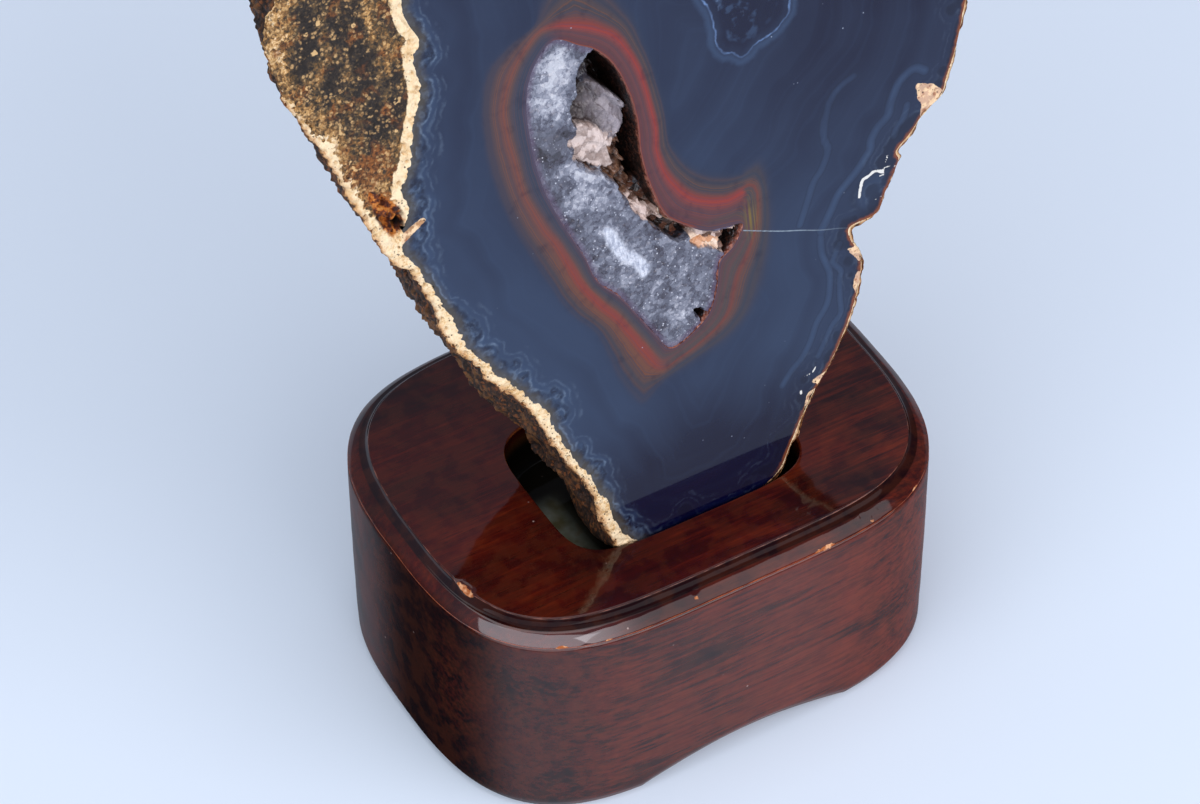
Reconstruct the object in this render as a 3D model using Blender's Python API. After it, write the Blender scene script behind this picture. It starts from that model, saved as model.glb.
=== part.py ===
"""Polished agate slice standing in the recess of a lacquered wood stand.

Metres, +Z up. The origin is the middle of the stand's underside, with the stand's long side
along X and the polished face of the slice turned to -Y. The slice leans back a little, so its
own sizes are given on its face: across along X, and up the face from the level of the
stand's top. Three solids: the wood stand, the slice with the hollow opened by the cut, and
the crust of quartz crystals that lines the hollow.
"""
import math

import bmesh
import bpy
import numpy as np
from mathutils import noise
from mathutils.geometry import delaunay_2d_cdt

MM = 0.001
GAP = 0.35 * MM

# Wood stand: a block with a rounded oblong plan, slightly longer to the left.
STAND_HEIGHT = 41.0 * MM
TOP_LENGTH_LEFT = 40.0 * MM
TOP_LENGTH_RIGHT = 39.2 * MM
TOP_HALF_DEPTH = 29.6 * MM
PLAN_POWER_LENGTH = 4.6
PLAN_POWER_DEPTH = 2.9
PLAN_STATIONS = 96

# Moulding round the top: steps out from the edge of the top, and down from its level.
MOULDING = (
    (-0.6 * MM, 0.00 * MM),
    (-0.15 * MM, 0.10 * MM),
    (0.15 * MM, 0.45 * MM),
    (0.35 * MM, 1.00 * MM),
    (1.00 * MM, 1.10 * MM),
    (1.90 * MM, 1.25 * MM),
    (2.70 * MM, 1.70 * MM),
    (3.20 * MM, 2.30 * MM),
    (3.45 * MM, 2.90 * MM),
)
WALL_BULGE = 3.60 * MM
WALL_FOOT = 3.20 * MM
FOOT_EASE = 0.80 * MM
CHIP_CENTRE = (-39.3 * MM, -15.0 * MM)
CHIP_SIZE = (1.1 * MM, 2.6 * MM, 0.7 * MM)

# Shallow arch through the foot, front to back.
ARCH_HALF_WIDTH = 18.5 * MM
ARCH_HEIGHT = 3.2 * MM
ARCH_STEPS = 14

# Recess in the top, which holds the foot of the slice.
RECESS_HALF_LENGTH = 22.4 * MM
RECESS_FRONT = -20.2 * MM
RECESS_BACK = 4.4 * MM
RECESS_DEPTH = 8.1 * MM
RECESS_POWER = 4.5
RECESS_STATIONS = 56
RIM_ROUND = 0.5 * MM

# Slice: the plane of its face, its thickness, and how it leans.
LEAN = 0.20
FACE_X = -0.286 * MM
FACE_Y = -18.7 * MM
THICKNESS = 22.0 * MM
FACE_CENTRE = (0.0 * MM, 62.0 * MM)
RIM_STATIONS = 172
SKIN_DEPTHS = (0.0, 0.8, 2.6, 5.5, 9.0, 12.8, 16.6, 20.0, 22.0)
RIM_ROUGHNESS = 0.35 * MM
SKIN_ROUGHNESS = 1.05 * MM
SKIN_GRAIN = 5.5 * MM
FOOT_BELLY = 3.6 * MM

# Outline of the polished face in millimetres, from the foot, up the right side, over the
# top and down the left side. The right side is notched where the rind has broken away.
FACE_OUTLINE = (
    (-14.0, -1.2), (-7.0, -1.8), (3.0, -1.9), (11.0, -1.2), (14.8, 0.6), (17.4, 4.6),
    (19.3, 8.0), (22.2, 12.3), (25.3, 16.0), (29.0, 22.0), (31.6, 28.5), (32.2, 33.8),
    (30.9, 36.5), (30.8, 38.2), (35.0, 38.6), (37.0, 41.6), (39.4, 45.4), (40.3, 47.0),
    (39.9, 48.3), (42.2, 50.0), (44.6, 52.3), (48.2, 54.6), (49.5, 57.5), (51.5, 62.0),
    (53.6, 69.0), (56.0, 77.0), (57.4, 86.0), (56.6, 95.0), (52.5, 104.0), (45.0, 112.5),
    (36.5, 117.0), (29.0, 121.5), (17.0, 125.0), (4.0, 127.5), (-9.0, 126.8), (-20.0, 127.6),
    (-32.0, 124.5), (-42.0, 121.0), (-50.0, 115.5), (-54.0, 111.0), (-56.2, 107.0),
    (-57.0, 103.5), (-56.0, 99.0), (-55.2, 94.5), (-52.3, 88.0), (-50.6, 83.5), (-48.0, 75.7),
    (-45.2, 67.5), (-43.5, 63.5), (-41.0, 60.5), (-38.6, 53.5), (-38.1, 50.0), (-36.4, 45.8),
    (-33.8, 42.0), (-31.5, 37.5), (-27.8, 33.0), (-25.2, 28.0), (-22.4, 20.8), (-20.0, 15.6),
    (-18.1, 11.5), (-17.1, 6.5), (-15.8, 1.5),
)

# How far the rough skin has moved out by the back cut, by direction from FACE_CENTRE, in
# degrees and millimetres: it tucks in nearly all round and swells out low on the left.
SKIN_LEAN = (
    (-150.0, -1.2), (-129.0, 2.0), (-118.0, 2.0), (-109.0, 0.3), (-103.0, -2.6),
    (-90.0, 0.6), (-75.0, -1.8), (-50.0, -3.0), (0.0, -4.0), (30.0, -5.5), (60.0, -6.5),
    (90.0, -5.5), (120.0, -6.5), (143.0, -8.6), (152.0, -8.0), (160.0, -4.8), (170.0, -4.2),
    (183.0, -2.6), (197.0, -3.0),
)

# Outline of the hollow in the face, in millimetres, from its top and down its left side.
HOLLOW_OUTLINE = (
    (-14.3, 89.2), (-18.0, 86.0), (-19.7, 81.0), (-19.8, 74.0), (-18.9, 66.5), (-16.7, 59.6),
    (-13.9, 52.5), (-12.3, 47.4), (-8.9, 43.0), (-4.4, 34.8), (-1.6, 30.8), (3.6, 32.9),
    (5.8, 35.3), (7.0, 38.5), (7.8, 42.2), (10.4, 44.0), (12.2, 47.0), (9.5, 47.7),
    (6.0, 48.5), (2.8, 50.9), (-0.2, 54.0), (-1.9, 59.3), (-2.9, 65.5), (-2.9, 72.0),
    (-3.9, 77.5), (-5.6, 82.0), (-8.0, 85.2), (-10.3, 86.8),
)
HOLLOW_STATIONS = 84
HOLLOW_DEPTH = 13.0 * MM

# The crust: where the cut left it flush, where a ledge broke off, and the open void.
CRUST_LATTICE = 1.15 * MM
CRUST_FLUSH = 0.45 * MM
CRUST_FOOT = 0.35 * MM
LEDGE_OUTLINE = (
    (-9.3, 78.7), (-6.6, 76.0), (-4.5, 74.8), (-4.6, 70.8), (-7.4, 69.7), (-7.3, 65.3),
    (-9.0, 65.3), (-13.3, 68.0), (-13.0, 76.5),
)
LEDGE_DROP = 2.2 * MM
VOID_OUTLINE = (
    (-7.2, 86.4), (-4.4, 82.6), (-2.2, 77.0), (-1.5, 70.0), (-1.6, 65.0), (-0.6, 59.4),
    (-1.2, 56.2), (-3.3, 56.8), (-5.2, 61.0), (-7.6, 65.6), (-8.0, 69.4), (-5.4, 71.0),
    (-5.6, 74.6), (-8.6, 77.4), (-11.2, 79.6), (-11.2, 82.4), (-9.6, 84.4),
)
VOID_DROP = 11.2 * MM
SEAM_OUTLINE = (
    (-5.4, 57.6), (-2.6, 55.2), (0.8, 51.6), (4.2, 49.4), (8.0, 48.2), (12.6, 47.6),
    (12.4, 45.6), (8.6, 44.2), (5.6, 46.8), (2.2, 48.4), (-1.2, 50.6), (-3.4, 54.2),
)
SEAM_DROP = 2.4 * MM
CRYSTAL_COUNT = 190
CRYSTAL_RADIUS = (0.9 * MM, 2.1 * MM)
CRYSTAL_RISE = 0.75
CRYSTAL_SEED = 11

MATERIALS = {
    "wood_stand": ((0.062, 0.012, 0.008), 0.16, 0.0),
    "agate_slice": ((0.030, 0.052, 0.100), 0.08, 0.0),
    "quartz_crust": ((0.520, 0.540, 0.620), 0.30, 0.0),
}


def clear_scene():
    """Remove whatever the scene holds."""
    for item in list(bpy.data.objects):
        bpy.data.objects.remove(item, do_unlink=True)


def material_for(name):
    """Principled material with a sub-part's colour, roughness and metallic value."""
    colour, roughness, metallic = MATERIALS[name]
    material = bpy.data.materials.new(name)
    material.use_nodes = True
    shader = material.node_tree.nodes["Principled BSDF"]
    shader.inputs["Base Color"].default_value = (*colour, 1.0)
    shader.inputs["Roughness"].default_value = roughness
    shader.inputs["Metallic"].default_value = metallic
    return material


def add_object(name, bm, material=None):
    """Turn a bmesh into an object in the scene."""
    bmesh.ops.recalc_face_normals(bm, faces=bm.faces)
    mesh = bpy.data.meshes.new(name)
    bm.to_mesh(mesh)
    bm.free()
    item = bpy.data.objects.new(name, mesh)
    bpy.context.scene.collection.objects.link(item)
    if material is not None:
        mesh.materials.append(material)
    return item


def cut(target, cutter):
    """Subtract a hidden cutter from a sub-part."""
    cutter.hide_render = True
    cutter.display_type = "WIRE"
    modifier = target.modifiers.new("cut_" + cutter.name, "BOOLEAN")
    modifier.operation = "DIFFERENCE"
    modifier.solver = "EXACT"
    modifier.object = cutter


def loft(rings, cap_first=True, cap_last=True):
    """Closed skin through rings of equally many points, with a flat cap at either end."""
    bm = bmesh.new()
    levels = [[bm.verts.new(point) for point in ring] for ring in rings]
    count = len(levels[0])
    for lower, upper in zip(levels, levels[1:]):
        for i in range(count):
            j = (i + 1) % count
            bm.faces.new((lower[i], lower[j], upper[j], upper[i]))
    if cap_first:
        bm.faces.new(levels[0][::-1])
    if cap_last:
        bm.faces.new(levels[-1])
    return bm


def resample(points, count):
    """Points at equal steps along a closed line."""
    closed = np.vstack([points, points[:1]])
    steps = np.linalg.norm(np.diff(closed, axis=0), axis=1)
    along = np.concatenate([[0.0], np.cumsum(steps)])
    wanted = np.linspace(0.0, along[-1], count, endpoint=False)
    return np.stack([np.interp(wanted, along, closed[:, axis]) for axis in (0, 1)], axis=1)


def smooth_outline(points_mm, count):
    """Closed Catmull-Rom curve through points given in millimetres, at equal steps."""
    points = np.array(points_mm) * MM
    before = np.roll(points, 1, axis=0)
    after = np.roll(points, -1, axis=0)
    beyond = np.roll(points, -2, axis=0)
    dense = []
    for t in np.linspace(0.0, 1.0, 8, endpoint=False):
        dense.append(0.5 * (2.0 * points + (after - before) * t
                            + (2.0 * before - 5.0 * points + 4.0 * after - beyond) * t ** 2
                            + (3.0 * points - before - 3.0 * after + beyond) * t ** 3))
    return resample(np.stack(dense, axis=1).reshape(-1, 2), count)


def outward(ring):
    """Unit normals of a closed plan line that runs anticlockwise."""
    along = np.roll(ring, -1, axis=0) - np.roll(ring, 1, axis=0)
    normals = np.stack([along[:, 1], -along[:, 0]], axis=1)
    return normals / np.linalg.norm(normals, axis=1, keepdims=True)


def inside(points, outline):
    """True for the points that a closed outline encloses, by counting crossings."""
    x, y = points[:, 0:1], points[:, 1:2]
    start = outline
    end = np.roll(outline, -1, axis=0)
    spans = (start[:, 1] > y) != (end[:, 1] > y)
    rise = np.where(end[:, 1] == start[:, 1], 1.0, end[:, 1] - start[:, 1])
    crossing = start[:, 0] + (y - start[:, 1]) * (end[:, 0] - start[:, 0]) / rise
    return (np.sum(spans & (x < crossing), axis=1) % 2) == 1


def edge_distance(points, outline):
    """Distance from each point to a closed outline."""
    start = outline[None, :, :]
    run = np.roll(outline, -1, axis=0)[None, :, :] - start
    offset = points[:, None, :] - start
    t = np.clip((offset * run).sum(axis=2) / (run ** 2).sum(axis=2), 0.0, 1.0)
    return np.linalg.norm(offset - t[..., None] * run, axis=2).min(axis=1)


def oblong(left, right, half_depth, power_length, power_depth, count):
    """Anticlockwise plan of a rounded oblong: |x/a|^p + |y/b|^q = 1."""
    turn = np.linspace(0.0, 2.0 * math.pi, 720, endpoint=False)
    across, deep = np.cos(turn), np.sin(turn)
    reach = np.where(across < 0.0, left, right)
    x = reach * np.sign(across) * np.abs(across) ** (2.0 / power_length)
    y = half_depth * np.sign(deep) * np.abs(deep) ** (2.0 / power_depth)
    return resample(np.stack([x, y], axis=1), count)


def at_height(plan, z):
    """Plan points lifted to one height."""
    return np.column_stack([plan, np.full(len(plan), z)])


def build_stand():
    """Block with the moulded top, the recess, the arch under it and one chip."""
    plan = oblong(TOP_LENGTH_LEFT, TOP_LENGTH_RIGHT, TOP_HALF_DEPTH,
                  PLAN_POWER_LENGTH, PLAN_POWER_DEPTH, PLAN_STATIONS)
    normals = outward(plan)
    steps = [(out, STAND_HEIGHT - down) for out, down in MOULDING]
    steps += [
        (WALL_BULGE, STAND_HEIGHT * 0.66),
        (WALL_BULGE, STAND_HEIGHT * 0.33),
        (WALL_FOOT + 0.25 * MM, FOOT_EASE * 2.0),
        (WALL_FOOT, FOOT_EASE * 0.5),
        (WALL_FOOT - FOOT_EASE, 0.0),
    ]
    rings = [at_height(plan + out * normals, z) for out, z in reversed(steps)]
    stand = add_object("wood_stand", loft(rings), material_for("wood_stand"))
    cut(stand, recess_cutter())
    cut(stand, arch_cutter())
    cut(stand, chip_cutter())
    return stand


def recess_cutter():
    """Tool for the recess: a rounded oblong with a soft rim and a rounded floor edge."""
    half_depth = (RECESS_BACK - RECESS_FRONT) / 2.0
    plan = oblong(RECESS_HALF_LENGTH, RECESS_HALF_LENGTH, half_depth,
                  RECESS_POWER, RECESS_POWER, RECESS_STATIONS)
    normals = outward(plan)
    plan = plan + np.array([0.0, (RECESS_BACK + RECESS_FRONT) / 2.0])
    floor = STAND_HEIGHT - RECESS_DEPTH
    steps = (
        (-1.2 * MM, floor),
        (-0.3 * MM, floor + 0.5 * MM),
        (0.0, floor + 1.6 * MM),
        (0.0, STAND_HEIGHT - RIM_ROUND),
        (RIM_ROUND, STAND_HEIGHT),
        (RIM_ROUND, STAND_HEIGHT + 2.0 * MM),
    )
    return add_object("recess_tool", loft([at_height(plan + out * normals, z)
                                           for out, z in steps]))


def arch_cutter():
    """Tool for the arch: a cosine hump, a little full, run through from front to back."""
    across = np.linspace(-1.0, 1.0, ARCH_STEPS + 1)
    rise = ARCH_HEIGHT * np.abs(np.cos(0.5 * math.pi * across)) ** 0.8
    section = [(ARCH_HALF_WIDTH * a, r) for a, r in zip(across, rise)]
    section[0] = (-ARCH_HALF_WIDTH, -2.0 * MM)
    section[-1] = (ARCH_HALF_WIDTH, -2.0 * MM)
    section.insert(1, (-ARCH_HALF_WIDTH * 0.995, 0.0))
    section.insert(-1, (ARCH_HALF_WIDTH * 0.995, 0.0))
    reach = TOP_HALF_DEPTH + 10.0 * MM
    rings = [[(x, y, z) for x, z in section] for y in (-reach, reach)]
    return add_object("arch_tool", loft(rings))


def chip_cutter():
    """Tool for the chip in the front left edge of the top: a small flattened lump."""
    bm = bmesh.new()
    bmesh.ops.create_icosphere(bm, subdivisions=2, radius=1.0)
    for vert in bm.verts:
        bump = 1.0 + 0.25 * noise.noise(vert.co * 1.7)
        vert.co.x *= CHIP_SIZE[0] * bump
        vert.co.y *= CHIP_SIZE[1] * bump
        vert.co.z *= CHIP_SIZE[2] * bump
    bmesh.ops.translate(bm, verts=bm.verts, vec=(*CHIP_CENTRE, STAND_HEIGHT))
    return add_object("chip_tool", bm)


def on_slice(face_points, depth):
    """World places of points given on the face, moved a depth into the slice.

    The face's upward direction leans back by LEAN, and depth runs square to the face.
    """
    face_points = np.asarray(face_points)
    depth = np.broadcast_to(depth, len(face_points))
    x = FACE_X + face_points[:, 0]
    y = FACE_Y + face_points[:, 1] * math.sin(LEAN) + depth * math.cos(LEAN)
    z = STAND_HEIGHT + face_points[:, 1] * math.cos(LEAN) - depth * math.sin(LEAN)
    return np.column_stack([x, y, z])


def lumps(points, size, seed):
    """Smooth noise from -1 to 1 at each point, with two finer octaves."""
    shift = np.array([seed * 7.3, seed * 1.9, seed * 4.1])
    return np.array([noise.fractal(tuple(point / size + shift), 0.7, 2.1, 3)
                     for point in points])


def slice_ring(outline, depth_mm):
    """One ring round the slice at a depth behind the face."""
    depth = depth_mm * MM
    share = depth / THICKNESS
    offset = outline - np.array(FACE_CENTRE)
    heading = np.degrees(np.arctan2(offset[:, 1], offset[:, 0]))
    angles, moves = zip(*SKIN_LEAN)
    lean = np.interp(heading, angles, moves, period=360.0) * MM * share ** 1.5
    low = np.clip(1.0 - (outline[:, 1] + 2.0 * MM) / (7.0 * MM), 0.0, 1.0)
    downward = np.clip(-outward(outline)[:, 1], 0.0, 1.0)
    belly = FOOT_BELLY * low * downward ** 2 * math.sin(math.pi * min(1.0, share * 1.15)) ** 0.7
    place = np.column_stack([outline, np.full(len(outline), depth)])
    near_cut = min(1.0, depth_mm / 2.0) * min(1.0, (THICKNESS / MM - depth_mm) / 1.5 + 0.25)
    rough = lumps(place, SKIN_GRAIN, 1) * SKIN_ROUGHNESS * near_cut * (1.0 - 0.8 * low)
    rim = lumps(place * [1, 1, 0.2], 2.6 * MM, 2) * RIM_ROUGHNESS * (1.0 - 0.7 * low)
    return outline + (lean + belly + rough + rim)[:, None] * outward(outline)


def build_slice():
    """Slice with a polished face, rough skin round its edge and the hollow opened in it."""
    outline = smooth_outline(FACE_OUTLINE, RIM_STATIONS)
    rings = [on_slice(slice_ring(outline, depth), depth * MM) for depth in SKIN_DEPTHS]
    agate = add_object("agate_slice", loft(rings), material_for("agate_slice"))
    hollow = smooth_outline(HOLLOW_OUTLINE, HOLLOW_STATIONS)
    tool = add_object("hollow_tool", loft([on_slice(hollow, -2.0 * MM),
                                           on_slice(hollow, HOLLOW_DEPTH)]))
    cut(agate, tool)
    return agate


def region_depth(points):
    """Depth of the crust's surface below the face before crystals are added."""
    depth = np.full(len(points), CRUST_FLUSH)
    for outline_mm, drop, slope in (
        (SEAM_OUTLINE, SEAM_DROP, 1.0 * MM),
        (LEDGE_OUTLINE, LEDGE_DROP, 0.8 * MM),
        (VOID_OUTLINE, VOID_DROP, 1.3 * MM),
    ):
        outline = np.array(outline_mm) * MM
        reach = edge_distance(points, outline) * np.where(inside(points, outline), 1.0, -1.0)
        share = np.clip(0.5 + reach / slope, 0.0, 1.0)
        depth = depth + (drop - depth) * share
    return depth


def crystal_rise(points, ceiling):
    """Height of six-sided pyramids over the crust, the tallest one winning everywhere."""
    rng = np.random.default_rng(CRYSTAL_SEED)
    low, high = points.min(axis=0), points.max(axis=0)
    centres = rng.uniform(low, high, (CRYSTAL_COUNT, 2))
    radii = rng.uniform(*CRYSTAL_RADIUS, CRYSTAL_COUNT)
    turns = rng.uniform(0.0, math.pi / 3.0, CRYSTAL_COUNT)
    rise = np.zeros(len(points))
    for centre, radius, turn in zip(centres, radii, turns):
        offset = points - centre
        reach = np.zeros(len(points))
        for side in range(6):
            heading = turn + side * math.pi / 3.0
            reach = np.maximum(reach, offset @ np.array([math.cos(heading), math.sin(heading)]))
        rise = np.maximum(rise, (radius - reach) * CRYSTAL_RISE)
    return np.minimum(rise, ceiling)


def build_crust():
    """Quartz crust: one solid that fills the hollow and drops away into the void."""
    hollow = smooth_outline(HOLLOW_OUTLINE, HOLLOW_STATIONS)
    rim = hollow - GAP * outward(hollow)
    low, high = rim.min(axis=0), rim.max(axis=0)
    row_step = CRUST_LATTICE * math.sqrt(3.0) / 2.0
    lattice = []
    for row in range(int((high[1] - low[1]) / row_step) + 1):
        shift = 0.5 * CRUST_LATTICE * (row % 2)
        for column in range(int((high[0] - low[0]) / CRUST_LATTICE) + 1):
            lattice.append((low[0] + shift + column * CRUST_LATTICE, low[1] + row * row_step))
    lattice = np.array(lattice)
    keep = inside(lattice, rim) & (edge_distance(lattice, rim) > 0.55 * CRUST_LATTICE)
    points = np.vstack([rim, lattice[keep]])
    count = len(rim)
    edges = [(i, (i + 1) % count) for i in range(count)]
    flat, _, faces, _, _, _ = delaunay_2d_cdt([tuple(p) for p in points], edges, [], 1, 1e-7)
    flat = np.array([tuple(p) for p in flat])
    base = region_depth(flat)
    depth = base - crystal_rise(flat, np.maximum(base - 0.15 * MM, 0.0))
    top = on_slice(flat, depth)
    foot = on_slice(flat[:count], HOLLOW_DEPTH - CRUST_FOOT)
    bm = bmesh.new()
    upper = [bm.verts.new(point) for point in top]
    lower = [bm.verts.new(point) for point in foot]
    for face in faces:
        bm.faces.new([upper[i] for i in face])
    for i in range(count):
        j = (i + 1) % count
        bm.faces.new((upper[j], upper[i], lower[i], lower[j]))
    bm.faces.new(lower[::-1])
    return add_object("quartz_crust", bm, material_for("quartz_crust"))


def main():
    clear_scene()
    build_stand()
    build_slice()
    build_crust()


main()
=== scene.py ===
"""Looks of a polished agate slice that leans in the recess of a lacquered wood stand.

The slice's shapes are drawn on its polished face, in millimetres across (x) and up (v) from
the level of the stand's top, and a depth runs square to the face, into the stone. The grids
of the stone run along rays from a point in the hollow, so that the rings from the hollow's
edge to the sawn back all share the same headings and meet without a gap.
"""

import logging
import math
from dataclasses import dataclass, field
from enum import Enum
from itertools import product
from typing import Iterable, Sequence

import bpy
import numpy as np
from mathutils import Matrix, Vector


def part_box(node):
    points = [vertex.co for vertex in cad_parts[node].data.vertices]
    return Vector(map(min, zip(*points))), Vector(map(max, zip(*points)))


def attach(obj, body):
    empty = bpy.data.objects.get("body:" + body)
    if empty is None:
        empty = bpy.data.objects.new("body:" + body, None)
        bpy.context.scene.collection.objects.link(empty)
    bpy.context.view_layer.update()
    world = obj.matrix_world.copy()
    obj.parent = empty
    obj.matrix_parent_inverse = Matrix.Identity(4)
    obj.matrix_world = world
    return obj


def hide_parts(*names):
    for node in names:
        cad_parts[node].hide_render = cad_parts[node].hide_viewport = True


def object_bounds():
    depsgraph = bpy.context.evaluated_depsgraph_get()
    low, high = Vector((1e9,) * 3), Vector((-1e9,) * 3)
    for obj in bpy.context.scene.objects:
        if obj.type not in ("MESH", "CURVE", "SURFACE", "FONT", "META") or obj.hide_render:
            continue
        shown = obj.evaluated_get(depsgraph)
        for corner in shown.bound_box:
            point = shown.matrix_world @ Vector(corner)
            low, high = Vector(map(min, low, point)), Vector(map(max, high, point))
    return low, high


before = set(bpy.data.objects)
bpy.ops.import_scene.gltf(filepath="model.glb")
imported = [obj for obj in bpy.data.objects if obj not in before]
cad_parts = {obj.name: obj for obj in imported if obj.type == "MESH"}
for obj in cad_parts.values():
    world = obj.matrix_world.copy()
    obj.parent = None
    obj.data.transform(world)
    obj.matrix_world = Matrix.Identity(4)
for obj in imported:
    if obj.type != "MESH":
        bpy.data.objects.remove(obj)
CAD_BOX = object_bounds()

LOG = logging.getLogger("agate")
MM = 0.001
BODY = "root"
Pair = tuple[float, float]
Colour = tuple[float, float, float]
Bands = tuple[tuple[float, int, int, int], ...]

# What the polished face mirrors of the floor, and the light that falls on it, by colour part.
MIRRORED: Colour = (0.026, 0.030, 0.036)
FACE_LIGHT: Colour = (1.30, 1.36, 1.50)
LEAST_PART = 0.0012


def paint(red: int, green: int, blue: int) -> Colour:
    """Linear colour of a paint chip given as screen values from 0 to 255.

    Args:
        red: red part.
        green: green part.
        blue: blue part.

    Returns:
        The three linear parts, each (s + 0.055) / 1.055 to the power 2.4, or s / 12.92 low down.
    """
    def linear(part: int) -> float:
        """One part, from 0 to 255, as a linear share."""
        share = part / 255.0
        return share / 12.92 if share <= 0.04045 else ((share + 0.055) / 1.055) ** 2.4
    return linear(red), linear(green), linear(blue)


def polished(red: int, green: int, blue: int) -> Colour:
    """Linear colour of a stone that shows the given screen values through its polish.

    Formula: what a gloss face mirrors of the pale floor comes off the linear parts, and the
    rest is divided by the light that falls on the face.

    Args:
        red: red part.
        green: green part.
        blue: blue part.

    Returns:
        The three linear parts.
    """
    return tuple(max(LEAST_PART, (part - mirrored) / light) for part, mirrored, light
                 in zip(paint(red, green, blue), MIRRORED, FACE_LIGHT))


def smooth_step(value: np.ndarray, low: float, high: float) -> np.ndarray:
    """Rise from 0 at low to 1 at high: 3t^2 - 2t^3 of the share t between them."""
    share = np.clip((value - low) / (high - low), 0.0, 1.0)
    return share * share * (3.0 - 2.0 * share)


class Grain:
    """Repeatable noise for whole arrays of places, built on a lattice of mixed numbers."""

    @staticmethod
    def number(cells: np.ndarray, seed: int) -> np.ndarray:
        """Number from 0 to 1 for each whole-numbered cell of a lattice.

        Formula: the cell's three coordinates are each multiplied by a large odd number and
        summed with the seed, and the bits are mixed by shifts, exclusive-ors and products.

        Args:
            cells: lattice coordinates, with three in the last axis.
            seed: which set of numbers to draw.

        Returns:
            One number for each cell.
        """
        whole = cells.astype(np.int64).astype(np.uint32)
        primes = np.array([374761393, 668265263, 2246822519], dtype=np.uint32)
        mixed = (whole * primes).sum(axis=-1, dtype=np.uint32)
        mixed = mixed + np.full_like(mixed, (seed * 974634777) % 2 ** 32)
        for shift, prime in ((15, 2246822519), (13, 3266489917), (16, 668265263)):
            mixed = (mixed ^ (mixed >> np.uint32(shift))) * np.full_like(mixed, prime)
        return (mixed ^ (mixed >> np.uint32(15))) / 2.0 ** 32

    @classmethod
    def soft(cls, places: np.ndarray, size: float, seed: int) -> np.ndarray:
        """Smooth noise from -1 to 1: the numbers at a cell's eight corners, blended by 3t^2 - 2t^3.

        Args:
            places: places with three coordinates.
            size: width of a cell.
            seed: which noise to read.

        Returns:
            One number for each place.
        """
        scaled = places / size + 57.31
        home = np.floor(scaled)
        share = scaled - home
        share = share * share * (3.0 - 2.0 * share)
        total = np.zeros(places.shape[:-1])
        for corner in product((0, 1), repeat=3):
            weight = np.prod(np.where(corner, share, 1.0 - share), axis=-1)
            total += weight * cls.number(home + corner, seed)
        return 2.0 * total - 1.0

    @classmethod
    def rough(cls, places: np.ndarray, size: float, seed: int, octaves: int = 4) -> np.ndarray:
        """Sum of octaves of soft noise, each half the size and 0.55 of the strength of the last.

        Args:
            places: places with three coordinates.
            size: cell width of the first octave.
            seed: which noise to read.
            octaves: how many are summed.

        Returns:
            One number for each place.
        """
        total = np.zeros(places.shape[:-1])
        for octave in range(octaves):
            total += 0.55 ** octave * cls.soft(places, size / 2.0 ** octave, seed + 31 * octave)
        return total

    @classmethod
    def pebbles(cls, places: np.ndarray, size: float,
                seed: int) -> tuple[np.ndarray, np.ndarray, np.ndarray]:
        """Cell noise on the face: how far each place is from the nearest scattered point.

        Formula: each lattice square holds one point at a mixed place, and the nearest point of
        the nine squares round a place wins.

        Args:
            places: places with two or three coordinates, of which the first two count.
            size: width of a lattice square, in the units of the places.
            seed: which set of points to scatter.

        Returns:
            The distance in squares, a number from 0 to 1 that marks the winning point, and the
            step to it in squares.
        """
        scaled = places[..., :2] / size
        home = np.floor(scaled)
        best = np.full(scaled.shape[:-1], 9.0)
        tag = np.zeros_like(best)
        offset = np.zeros_like(scaled)
        for step in product((-1, 0, 1), repeat=2):
            square = home + step
            cell = np.concatenate([square, np.zeros(square.shape[:-1] + (1,))], axis=-1)
            spot = np.stack([cls.number(cell, seed), cls.number(cell, seed + 1)], axis=-1)
            away = square + spot - scaled
            reach = np.linalg.norm(away, axis=-1)
            nearer = reach < best
            best = np.where(nearer, reach, best)
            tag = np.where(nearer, cls.number(cell, seed + 2), tag)
            offset = np.where(nearer[..., None], away, offset)
        return best, tag, offset

    @classmethod
    def facets(cls, places: np.ndarray, size: float, seed: int) -> np.ndarray:
        """Relief from 0 to 1 of broken crystals: each cell of a cell noise is one tilted plane.

        Formula: a plane through a mixed height, tilted a mixed way, over the cell's own point.

        Args:
            places: places whose first two coordinates count.
            size: width of a cell.
            seed: which cells to read.

        Returns:
            One number for each place.
        """
        _, tag, offset = cls.pebbles(places, size, seed)
        turn = 2.0 * math.pi * np.mod(tag * 7.13, 1.0)
        tilt = np.cos(turn) * offset[..., 0] + np.sin(turn) * offset[..., 1]
        return np.clip(0.5 + 0.7 * (tag - 0.5) + 0.55 * tilt, 0.0, 1.0)


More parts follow.
